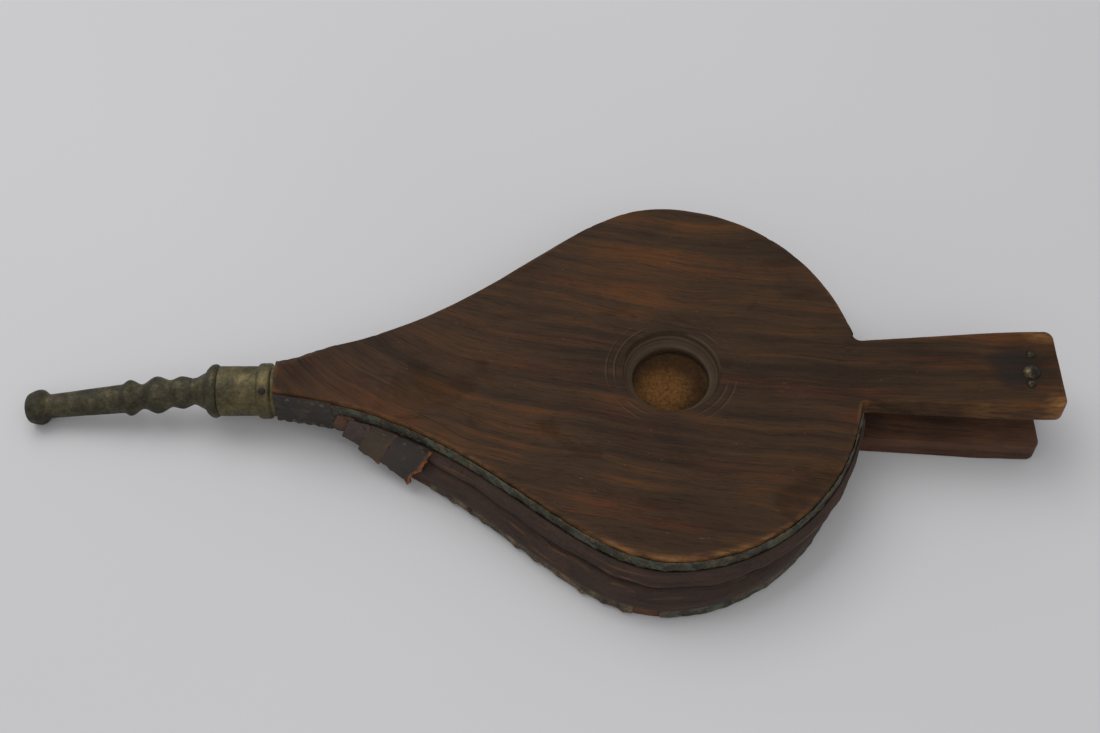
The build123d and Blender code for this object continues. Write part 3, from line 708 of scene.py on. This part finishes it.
# ---------------- folded leather wall
# rows of the fold: height at the hinge, share of the tilt, growth at the crown, the nose and the rear
FOLD = np.array([
    (9.3, 0.0, 9.6, 2.8, -0.3), (12.6, 0.1, 9.5, 2.9, 0.8), (14.6, 0.25, 9.2, 2.9, 1.8),
    (16.6, 0.38, 7.8, 2.5, 1.4), (18.8, 0.5, 3.0, 1.3, 0.1), (CREASE, 0.58, -1.4, 0.2, -1.2),
    (21.6, 0.7, 2.4, 0.8, 0.7), (23.4, 0.85, 5.7, 2.0, 2.7), (25.4, 0.95, 5.2, 2.2, 2.5),
    (27.4, 1.0, 3.2, 1.9, 1.8), (29.6, 1.0, 1.2, 1.2, 1.2)])
fold_curve = even(smooth_curve(FOLD[:, [0, 2]], (0.9, 0.4), (0.95, -0.3), 45), 45)
fold_height, fold_grow = fold_curve.T
fold_share, fold_nose, fold_rear = (np.interp(fold_height, FOLD[:, 0], FOLD[:, k]) for k in (1, 3, 4))

base_line = pear_side(count=700)
base_line = base_line[base_line[:, 0] >= LOWER_FRONT + 0.6]
base_out = outward(base_line)
wall_line = np.vstack([np.column_stack([base_line[:, 0], -base_line[:, 1]]), (base_line[::-1])[1:]])
wall_out = np.vstack([np.column_stack([base_out[:, 0], -base_out[:, 1]]), (base_out[::-1])[1:]])
wall_run = run_along(wall_line)

verts, weights, rubs, runs, highs = [], [], [], [], []
rows = len(fold_height)
for (s, y), (out_s, out_y), run in zip(wall_line, wall_out, wall_run):
    crown = clamp(s / CROWN_S, 0, 1)
    rearward = clamp((s - CROWN_S) / REAR_REACH) ** 1.6
    beside_handle = smoothstep(abs(y), 21, 27)
    for j in range(rows):
        h, share = fold_height[j], fold_share[j]
        grow = fold_nose[j] + (fold_grow[j] - fold_nose[j]) * crown
        grow += (fold_rear[j] - fold_grow[j]) * rearward
        free = smoothstep(h, 12.0, 15.0) * smoothstep(h, 28.5, 25.8)
        pleat = wobble(run, h * 0.7, 0, 17, 3.0) * 1.5 + wobble(run, h * 1.2, 0, 7, 8.0) * 0.55
        sag = wobble(run, 0, 0, 60, 1.0) * 1.3
        grow += free * (pleat + sag * (1 if h < CREASE else -0.6)) * (0.45 + 0.55 * crown)
        rise = free * (wobble(run, 5, 0, 45, 6.0) * 1.1 + wobble(run, h, 4, 12, 2.0) * 0.35)
        if h < 13.5:
            if beside_handle <= 0:
                h = TUCK_LOW + (h - 9.3) * 0.14
            else:
                h += (TUCK_LOW - h) * (1 - beside_handle) * clamp((13.5 - h) / 5.5 + 0.35)
            grow -= (1 - beside_handle) * 1.5
        if h > 26.5:
            h -= (1 - beside_handle) * (h - TUCK_HIGH)
            grow -= (1 - beside_handle) * 1.0
        verts.append(leaf_point(s + out_s * grow, y + out_y * grow, h + rise, share))
        if fold_height[j] < CREASE:
            weights.append(clamp(0.5 * (fold_height[j] - THICK) / 7.9))
            bulge = smoothstep(fold_grow[j], 3.5, 8.0)
        else:
            weights.append(clamp(0.5 + 0.5 * (fold_height[j] - CREASE) / 6.2))
            bulge = smoothstep(fold_grow[j], 2.5, 5.5)
        rubs.append(clamp(bulge * 0.9 + 0.1) * (0.35 + 0.65 * clamp(wobble(run, 0, 0, 40, 14.0) + 0.5)))
        runs.append(run)
        highs.append(fold_height[j])
gusset = new_object("folded_leather_wall", verts, grid_faces(len(wall_line), rows), LEATHER_FOLD, 80)
thicken(gusset, LEATHER_THICK)
settle(gusset)
soften(gusset, 60)
for layer_name, values in (("rub", rubs), ("run", runs), ("high", highs)):
    store(gusset, layer_name, values)
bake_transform(gusset, "lower_side", "upper_side", start=(0, 0, 0.0125), end=(0, 0, 0.0275))
# the crease follows half of the opening
store(gusset, "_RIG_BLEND", weights)
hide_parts("gusset_leather")


# ---------------- strips that follow the rim
def strip(name, side, line, rows_at, shape, material, thickness, body):
    """A thin sheet along the rim. shape gives s, y, and the frame point for a place along and a row."""
    out = outward(line)
    run = run_along(line)
    verts = []
    for (s, w), (out_s, out_w), r in zip(line, out, run):
        for row in rows_at:
            grow, point = shape(s, w, r, run[-1], row)
            verts.append(point(s + out_s * grow, (w + out_w * grow) * side))
    faces = grid_faces(len(line), len(rows_at))
    if side > 0:
        faces = [tuple(reversed(f)) for f in faces]
    obj = new_object(name, verts, faces, material, 60)
    thicken(obj, thickness, 1.0)
    settle(obj)
    soften(obj, 50)
    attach(obj, body)
    return obj


def band(name, side, upper, start, stop, top, bottom, ragged, node, seed, material=BAND):
    """A run of thin metal nailed round a board's edge, a little buckled between its tacks."""
    line = pear_side((0, 0, 0) if upper else LOWER_GROWS, 900)
    line = line[(line[:, 0] >= start) & ((line[:, 0] < CROWN_S) | (line[:, 1] > (24.8 if upper else 27.3)))]
    if stop is not None:
        line = line[(line[:, 0] <= stop) & (line[:, 0] < CROWN_S)]

    def shape(s, w, run, length, row):
        end_curl = smoothstep(run, length - 9, length) if stop is None else 0.0
        buckle = 0.12 + 0.4 * clamp(0.5 + wobble(run, 0, 0, 9, seed)) + 0.18 * wobble(run, row * 4, 0, 4, seed)
        lip = clamp((row - 0.75) / 0.25) * (0.25 + 0.7 * clamp(wobble(run, 0, 0, 6, seed + 2)) * ragged)
        grow = GAP + buckle + lip + end_curl * (0.5 + 1.3 * row)
        edge = bottom + ragged * 0.55 * wobble(run, 0, 0, 4.5, seed + 5) + 0.15 * wobble(run, 0, 0, 3, seed)
        upper_edge = top + 0.3 * wobble(run, 0, 0, 7, seed + 1)
        upper_edge += 0.7 * max(0, wobble(run, 4, 0, 5, seed + 8) - 0.25)
        depth = upper_edge + (edge - upper_edge) * row
        to_frame = upper_point if upper else lower_from_top
        return grow, lambda a, b: to_frame(a, b, depth)

    body = "upper_side" if upper else "lower_side"
    obj = strip(name, side, line, [0, 0.08, 0.3, 0.5, 0.7, 0.86, 1.0], shape, material, BAND_THICK, body)
    if node:
        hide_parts(node)


upper_bottom = BAND_DEPTH + BAND_WIDE
lower_top = THICK - LOWER_BAND_TOP
band("upper_band_near_sheet", -1, True, 28.5, None, BAND_DEPTH - 0.2, upper_bottom, 1.3, "upper_band_near", 11.0)
band("upper_band_far_sheet", 1, True, 30.0, None, BAND_DEPTH - 0.3, upper_bottom, 1.3, "upper_band_far", 23.0)
band("lower_band_near_front", -1, False, 84.0, 188.0, lower_top - 0.2, lower_top + 6.4, 3.4, "lower_band_near",
     31.0, BAND_BROWN)
band("lower_band_near_rear", -1, False, 201.0, None, lower_top - 0.1, lower_top + 6.8, 0.7, None, 37.0)
band("lower_band_far_sheet", 1, False, 84.0, None, lower_top, lower_top + 6.8, 0.9, "lower_band_far", 41.0)


def wrap(name, side_profile, start, stop, nodes):
    """Leather pulled round the nose: rows go down one side, under the block and up the other."""
    line = pear_side(count=1400)
    line = line[(line[:, 0] >= start) & (line[:, 0] <= stop)]
    out = outward(line)
    verts = []
    for (s, w), (out_s, out_w) in zip(line, out):
        for side in (-1, 1):
            rows_here = side_profile if side < 0 else side_profile[::-1]
            for depth, grow, inward in rows_here:
                g = grow + 0.18 * wobble(s, depth, side * 9, 5, 2.0)
                g += 0.12 * wobble(s, depth, side * 9, 2.2, 5.0)
                top_edge = 0.35 * wobble(s, side * 5, 0, 3.5, 3.0) if depth < 3 else 0.0
                scallop = abs(sin(pi * s / 5.4 + 0.6 * side))
                top_edge += (0.9 * scallop - 0.4) * smoothstep(depth, 21, 24) * (1 if inward < 0.3 else 0)
                g += 0.5 * scallop * smoothstep(depth, 20, 23.5) * (1 if inward < 0.3 else 0)
                across = side * max(0.4, (w + out_w * g) * (1 - inward))
                verts.append(upper_point(s + out_s * g, across, depth + top_edge))
    rows = 2 * len(side_profile)
    obj = new_object(name, verts, grid_faces(len(line), rows), LEATHER_NOSE, 70)
    thicken(obj, WRAP_THICK, 0.0)
    settle(obj)
    soften(obj, 60)
    paint(obj, "rub", lambda p: 0.5 + 0.4 * clamp(wobble(p.x, p.y, p.z, 9, 4.0)))
    narrow_nose(obj, NOSE_WRAP_DRAWN)
    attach(obj, "upper_side")
    if nodes:
        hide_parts(*nodes)


# rows of a wrap: depth, growth, and how far in under the block
under = [(23.8, 0.95, 0.0), (24.8, 0.6, 0.02), (25.3, 0.0, 0.1)] + [(25.5, 0.0, inward) for inward in (0.4, 0.7, 0.97)]
tall = [(1.6, 0.55, 0.0), (2.4, 0.8, 0.0), (4.2, 0.9, 0.0), (7.0, 0.95, 0.0), (11.0, 1.0, 0.0), (15.0, 1.05, 0.0),
        (19.5, 1.0, 0.0)]
short = [(9.8, 0.6, 0.0), (10.6, 0.95, 0.0), (12.0, 1.0, 0.0), (15.5, 1.05, 0.0), (19.5, 1.0, 0.0)]
wrap("nose_wrap_front", tall + under, -2.5, 29.0, ["nose_leather"])
wrap("nose_wrap_rear", short + under, 28.6, 50.0, [])

# ---------------- tack heads
def tack_heads(name, places, head_r, head_high, node, body, seed):
    """Domed heads, no two quite alike. Each place is a point in metres and the way its head faces."""
    rng = np.random.default_rng(seed)
    verts, faces = [], []
    rings = [(1.0, -0.35), (1.0, 0.0), (0.86, 0.42), (0.6, 0.76), (0.3, 0.94)]
    count = 14
    for point, way in places:
        way = (way + Vector(rng.normal(0, 0.09, 3))).normalized()
        side = way.orthogonal().normalized()
        other = way.cross(side)
        r, high = head_r * rng.uniform(0.8, 1.15), head_high * rng.uniform(0.75, 1.15)
        start = len(verts)
        for share, lift in rings:
            for k in range(count):
                a = 2 * pi * k / count
                wave = 1 + 0.07 * sin(2 * a + start) + 0.04 * sin(5 * a + start)
                ray = side * cos(a) + other * sin(a)
                verts.append(point + (ray * r * share * wave + way * high * lift) * 0.001)
        verts.append(point + way * high * 0.001)
        for ring in range(len(rings) - 1):
            for k in range(count):
                a, b = start + ring * count + k, start + ring * count + (k + 1) % count
                faces.append((a, b, b + count, a + count))
        last = start + (len(rings) - 1) * count
        faces += [(last + k, last + (k + 1) % count, len(verts) - 1) for k in range(count)]
    obj = new_object(name, verts, faces, TACKS, 50)
    narrow_nose(obj, NOSE_WRAP_DRAWN)
    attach(obj, body)
    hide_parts(node)


def rim_places(line, to_frame, depth, stations, proud, jitter, seed, sides=(-1, 1)):
    """Places on a rim line, at distances from the nose or at shares of the whole rim."""
    rng = np.random.default_rng(seed)
    out = outward(line)
    run = run_along(line)
    places = []
    for station in stations:
        for side in sides:
            if station < 1:
                at = int(np.searchsorted(run, station * run[-1] + rng.normal(0, jitter)))
            else:
                at = int(np.searchsorted(line[: int(len(line) * 0.6), 0], station + rng.normal(0, jitter)))
            (s, w), (out_s, out_w) = line[at], out[at]
            d = depth + rng.normal(0, 0.25)
            point = to_frame(s + out_s * proud, side * (w + out_w * proud), d)
            further = to_frame(s + out_s * (proud + 1), side * (w + out_w * (proud + 1)), d)
            places.append((point, (further - point).normalized()))
    return places


band_stations = [0.15 + 0.0468 * i for i in range(18)]
nose_line = pear_side(count=3000)
lower_line = pear_side(LOWER_GROWS, 3000)
upper_heads = rim_places(nose_line, upper_point, 4.7, band_stations, 0.75, 1.5, 5)
lower_heads = rim_places(lower_line, lower_from_top, 7.4, band_stations[3:], 0.8, 2.0, 7)
tack_heads("upper_band_heads", upper_heads, 1.5, 0.75, "upper_band_tacks", "upper_side", 6)
tack_heads("lower_band_heads", lower_heads, 1.7, 0.85, "lower_band_tacks", "lower_side", 8)
nose_heads = rim_places(nose_line, upper_point, 22.5, (7, 12, 17, 22, 27, 32, 37, 42, 46), 1.5, 0.5, 9)
nose_heads += rim_places(nose_line, upper_point, 4.2, (6, 12, 18, 24), 1.2, 0.8, 10)
tack_heads("nose_heads", nose_heads, 1.5, 0.6, "nose_tacks", "upper_side", 11)

# ---------------- leather patches
# name, side, start and end of the top edge, depth of the bottom edge, growth at top and bottom, hide, tearing
PATCHES = [
    ("nose_patch_near_1", -1, 32.0, 41.5, 22.0, 1.4, 2.2, PATCH_RED, 0.25),
    ("nose_patch_near_2", -1, 39.0, 50.6, 26.5, 2.7, 5.2, PATCH_GREY, 0.3),
    ("nose_patch_near_3", -1, 50.4, 64.8, 30.5, 2.0, 9.8, PATCH_OLIVE, 0.45),
    ("nose_patch_near_4", -1, 64.4, 84.0, 33.5, 2.2, 12.2, PATCH_DARK, 1.0),
    ("nose_patch_far_1", 1, 50.7, 64.4, 29.0, 2.0, 9.4, PATCH_OLIVE, 0.3),
    ("nose_patch_far_2", 1, 64.7, 87.0, 32.0, 2.2, 12.0, PATCH_DARK, 0.7),
]
PATCH_TOP, PATCH_LEAN = 9.0, 0.4
smooth_side = pear_side(count=3000)
smooth_out = outward(smooth_side)


def patch(name, side, start, stop, bottom, grow_top, grow_bottom, material, torn, seed):
    """A piece of leather nailed over the side of the nose, leaning forward, its edges worn and curled."""
    verts, tears = [], []
    columns, rows = 44, 30
    for i in range(columns):
        along = i / (columns - 1)
        for j in range(rows):
            row = j / (rows - 1) * (0.74 + 0.26 * along)
            run = (stop - start) * along
            low_edge = smoothstep(j / (rows - 1), 0.75, 1.0)
            end_edge = smoothstep(along, 0.8, 1.0)
            front_edge = smoothstep(along, 0.12, 0.0)
            ragged = 0.9 * wobble(run, 0, 0, 5, seed) + 0.5 * wobble(run, 0, 0, 1.7, seed)
            depth = PATCH_TOP + 0.1 + (bottom - PATCH_TOP) * row + low_edge * ragged * (0.5 + torn)
            depth += smoothstep(row, 0.12, 0.0) * 0.6 * wobble(run, 9, 0, 4, seed)
            s = start + run - PATCH_LEAN * (depth - PATCH_TOP)
            notch = 1.5 * wobble(depth, 0, 0, 5, seed + 6) + 0.8 * wobble(depth, 0, 0, 1.8, seed)
            s += end_edge * (0.35 + torn) * notch + front_edge * 0.7 * wobble(depth, 4, 0, 4, seed)
            grow = grow_top + (grow_bottom - grow_top) * row ** 0.9
            grow += 0.4 * wobble(run, depth, 0, 6, seed + 1) + 0.18 * wobble(run, depth, 0, 2.5, seed + 3)
            grow += low_edge * (0.7 * wobble(run, 3, 0, 7, seed + 2) + 0.2)
            grow += end_edge * torn * (0.8 + 0.8 * wobble(depth, 0, 0, 5, seed))
            at = int(np.searchsorted(smooth_side[:2000, 0], s))
            (line_s, line_w), (out_s, out_w) = smooth_side[at], smooth_out[at]
            verts.append(upper_point(line_s + out_s * grow, side * (line_w + out_w * grow), depth))
            tears.append(clamp(torn * smoothstep(along, 0.9, 0.96) + 0.5 * torn * smoothstep(row, 0.95, 1.0)))
    faces = grid_faces(columns, rows)
    if side > 0:
        faces = [tuple(reversed(f)) for f in faces]
    obj = new_object(name + "_hide", verts, faces, material, 60)
    thicken(obj, LEATHER_THICK, 1.0)
    settle(obj)
    soften(obj, 50)
    store(obj, "torn", tears)
    paint(obj, "rub", lambda p: 0.35 + 0.3 * wobble(p.x, p.y, p.z, 8, seed))
    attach(obj, "upper_side")
    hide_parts(name)


for index, spec in enumerate(PATCHES):
    patch(*spec, seed=50.0 + 7 * index)

patch_heads = []
for side, station, proud in ((-1, 36.5, 2.9), (-1, 46, 4.2), (-1, 58, 3.9), (-1, 69, 4.3), (-1, 79, 4.5),
                             (1, 58, 3.9), (1, 69, 4.3), (1, 81, 4.5)):
    patch_heads += rim_places(nose_line, upper_point, 11.2, [station], proud, 0.3, int(station), (side,))
tack_heads("patch_heads", patch_heads, 1.5, 0.6, "patch_tacks", "upper_side", 12)


# ---------------- turned brass nozzle
def lathe(name, plane_origin, way, profile, bore, material, dents, nodes):
    """A turned piece: profile rows are distance along and radius; the bore goes in from both ends."""
    way = way.normalized()
    side = Vector((0, 1, 0))
    top = way.cross(side).normalized()
    count = 96
    verts = []
    for i in range(count):
        a = 2 * pi * i / count
        ray = side * cos(a) + top * sin(a)
        for d, r in profile:
            spot = (d, r * cos(a), r * sin(a))
            bump = dents * (wobble(*spot, 9, 3.0) + 0.5 * wobble(*spot, 3.5, 6.0))
            verts.append((plane_origin + way * d + ray * (r + (bump if r > bore + 0.5 else 0))) * 0.001)
    obj = new_object(name, verts, grid_faces(count, len(profile), closed=True), material, 45)
    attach(obj, "upper_side")
    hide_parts(*nodes)


def through(points, count):
    """A smooth profile through turned points."""
    first, last = np.subtract(points[1], points[0]), np.subtract(points[-1], points[-2])
    first, last = first / np.linalg.norm(first), last / np.linalg.norm(last)
    return [tuple(p) for p in smooth_curve(points, first, last, count)]


def cone(start, stop, count):
    """Points on a straight taper, without its first point."""
    start, way = np.array(start), np.subtract(stop, start)
    return [tuple(start + way * k / count) for k in range(1, count + 1)]


nozzle_way = Vector((-cos(radians(TILT)), 0, -sin(radians(TILT))))
nozzle_origin = upper_point(NOSE_FRONT, 0, AXIS_DEPTH) * 1000
level = cos(radians(DROOP))
spout_way = Vector((-level * cos(radians(LEAN)), -level * sin(radians(LEAN)), -sin(radians(DROOP))))
spout_origin = nozzle_origin + nozzle_way * NECK
ferrule_profile = [(2.0, 11.1), (0.1, 11.1), (0.05, 12.8), (0.25, 13.3), (0.8, 13.45), (2.2, 13.5), (2.5, 13.9),
                   (2.9, 14.5), (3.5, 14.8), (4.4, 14.9), (7.9, 14.9), (8.8, 14.75), (9.5, 14.2), (9.9, 13.5),
                   (10.4, 13.3)]
ferrule_profile += cone((10.4, 13.3), (30.4, 13.3), 24) + [(30.9, 13.1), (31.0, 12.6), (31.0, 9.6), (28, 9.6)]
lathe("ferrule_turned", nozzle_origin, nozzle_way, ferrule_profile, 11.2, FERRULE, 0.14, ["ferrule"])
shoulder = [(29.0, 9.5), (31.05, 9.5), (31.06, 12.9), (31.3, 13.5)]
shoulder += through([(31.3, 13.5), (32.3, 14.2), (33.6, 14.35), (35.4, 13.6), (37.0, 12.1)], 16)[1:]
shoulder += through([(37.0, 12.1), (37.6, 10.8), (38.6, 9.9), (41.0, 8.6), (43.0, 7.5), (45.6, 6.9)], 18)[1:]
shoulder += [(45.6, 5.0)]
lathe("spout_shoulder", nozzle_origin, nozzle_way, shoulder, 9.6, NOZZLE, 0.12, ["nozzle_spout"])
beads = through([(-1.2, 6.2), (0.4, 7.0), (2.6, 7.8), (6.5, 8.7), (9.4, 7.9), (12.0, 7.3), (15.5, 8.5),
                 (19.8, 9.95), (24.0, 8.2), (28.0, 6.7), (31.5, 8.2), (35.1, 9.5), (37.2, 8.3), (38.6, 7.7)], 110)
tube = cone((38.6, 7.7), (60.0, 7.0), 14) + cone((60.0, 7.0), (79.0, 6.4), 12)
lip = through([(79.0, 6.4), (80.2, 7.3), (82.0, 8.9), (84.0, 9.5), (86.5, 9.1), (89.0, 8.2), (90.2, 7.4),
               (90.8, 6.5)], 40)[1:]
mouth = [(90.7, 5.2), (89.8, 4.5), (84.0, 4.3), (40.0, 4.3)]
spout_profile = [(-1.2, 4.3)] + beads + tube + lip + mouth
lathe("spout_turned", spout_origin, spout_way, spout_profile, 5.3, NOZZLE, 0.13, [])

# ---------------- hairy valve flap
rng = np.random.default_rng(7)
verts, faces = [], []
for _ in range(HAIRS):
    radius, turn = HAIR_REACH * sqrt(rng.random()), 2 * pi * rng.random()
    s, y = HOLE_S + radius * cos(turn), radius * sin(turn)
    swirl = wobble(s, y, 0, 9, 4.0) * 3.0 + rng.normal(0, 0.5) - 0.6
    length = rng.uniform(1.6, 3.6)
    lift = rng.uniform(0.15, 0.75) * (1.0 if radius < 18.5 else 0.25)
    wide = rng.uniform(0.05, 0.11)
    ds, dy = cos(swirl) * length, sin(swirl) * length
    start = len(verts)
    for t, fat in ((0, 1), (0.5, 0.8)):
        height = THICK + 0.4 - lift * (t * 2 - t * t) * 1.6
        half = wide * fat / length
        verts += [upper_point(s + ds * t - dy * way, y + dy * t + ds * way, height) for way in (half, -half)]
    verts.append(upper_point(s + ds, y + dy, THICK + 0.4 - lift * 1.5))
    faces += [(start, start + 1, start + 3, start + 2), (start + 2, start + 3, start + 4)]
hairs = new_object("flap_hair", verts, faces, HAIR, 80)
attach(hairs, "flap")

# ---------------- finishes of the CAD pieces that stay
kept = [
    (WOOD_LOWER, "nose_block"),
    (WOOD_ASH, "stay_hoop flap_stiffener"),
    (LEATHER_FOLD, "hinge_leather flap_hinge_strip flap_strap"),
    (LEATHER_NOSE, "nose_apron"),
    (HAIR, "valve_flap"),
    (IRON, "hinge_tacks nose_block_nails ferrule_nails flap_hinge_tacks flap_strap_tacks"),
    (TACKS, "apron_tacks flap_rivets"),
    (STUD, "handle_stud handle_tacks"),
]
for material, nodes in kept:
    for node in nodes.split():
        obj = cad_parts[node]
        obj.data.materials.clear()
        obj.data.materials.append(material)
        soften(obj, 40)

# ---------------- floor, light and camera
floor_mesh = bpy.data.meshes.new("floor")
floor_corners = [(x * FLOOR_REACH, y * FLOOR_REACH, 0) for x, y in ((-1, -1), (1, -1), (1, 1), (-1, 1))]
floor_mesh.from_pydata(floor_corners, [], [(0, 1, 2, 3)])
floor = bpy.data.objects.new("floor", floor_mesh)
bpy.context.scene.collection.objects.link(floor)
floor_mesh.materials.append(plain_floor())

scene = bpy.context.scene
scene.view_settings.view_transform = "Standard"
world = bpy.data.worlds.new("studio")
scene.world = world
world.use_nodes = True
world.node_tree.nodes["Background"].inputs[0].default_value = (0.97, 0.98, 1.0, 1)
world.node_tree.nodes["Background"].inputs[1].default_value = 0.55


def area_light(name, place, size, power):
    """A soft rectangular light that points at the middle of the floor."""
    data = bpy.data.lights.new(name, "AREA")
    data.shape = "RECTANGLE"
    data.size, data.size_y = size
    data.energy = power
    light = bpy.data.objects.new(name, data)
    light.location = place
    light.rotation_euler = (-Vector(place)).to_track_quat("-Z", "Y").to_euler()
    scene.collection.objects.link(light)


area_light("key_light", (-0.6, 0.7, 1.7), (1.8, 1.4), 17)
area_light("fill_light", (0.3, -1.2, 1.7), (1.8, 1.2), 6)

right = Vector((0.99992, -0.00016, 0.01248))
up = Vector((-0.00709, 0.81581, 0.57828))
forward = Vector((0.01028, 0.57832, -0.81575))
camera_data = bpy.data.cameras.new("camera")
camera_data.lens = 52.3636364
camera_data.sensor_width = 36
camera = bpy.data.objects.new("camera", camera_data)
turn = Matrix((right, up, -forward)).transposed()
camera.matrix_world = Matrix.Translation((-0.00205, -0.4832, 0.7273)) @ turn.to_4x4()
scene.collection.objects.link(camera)
scene.camera = camera
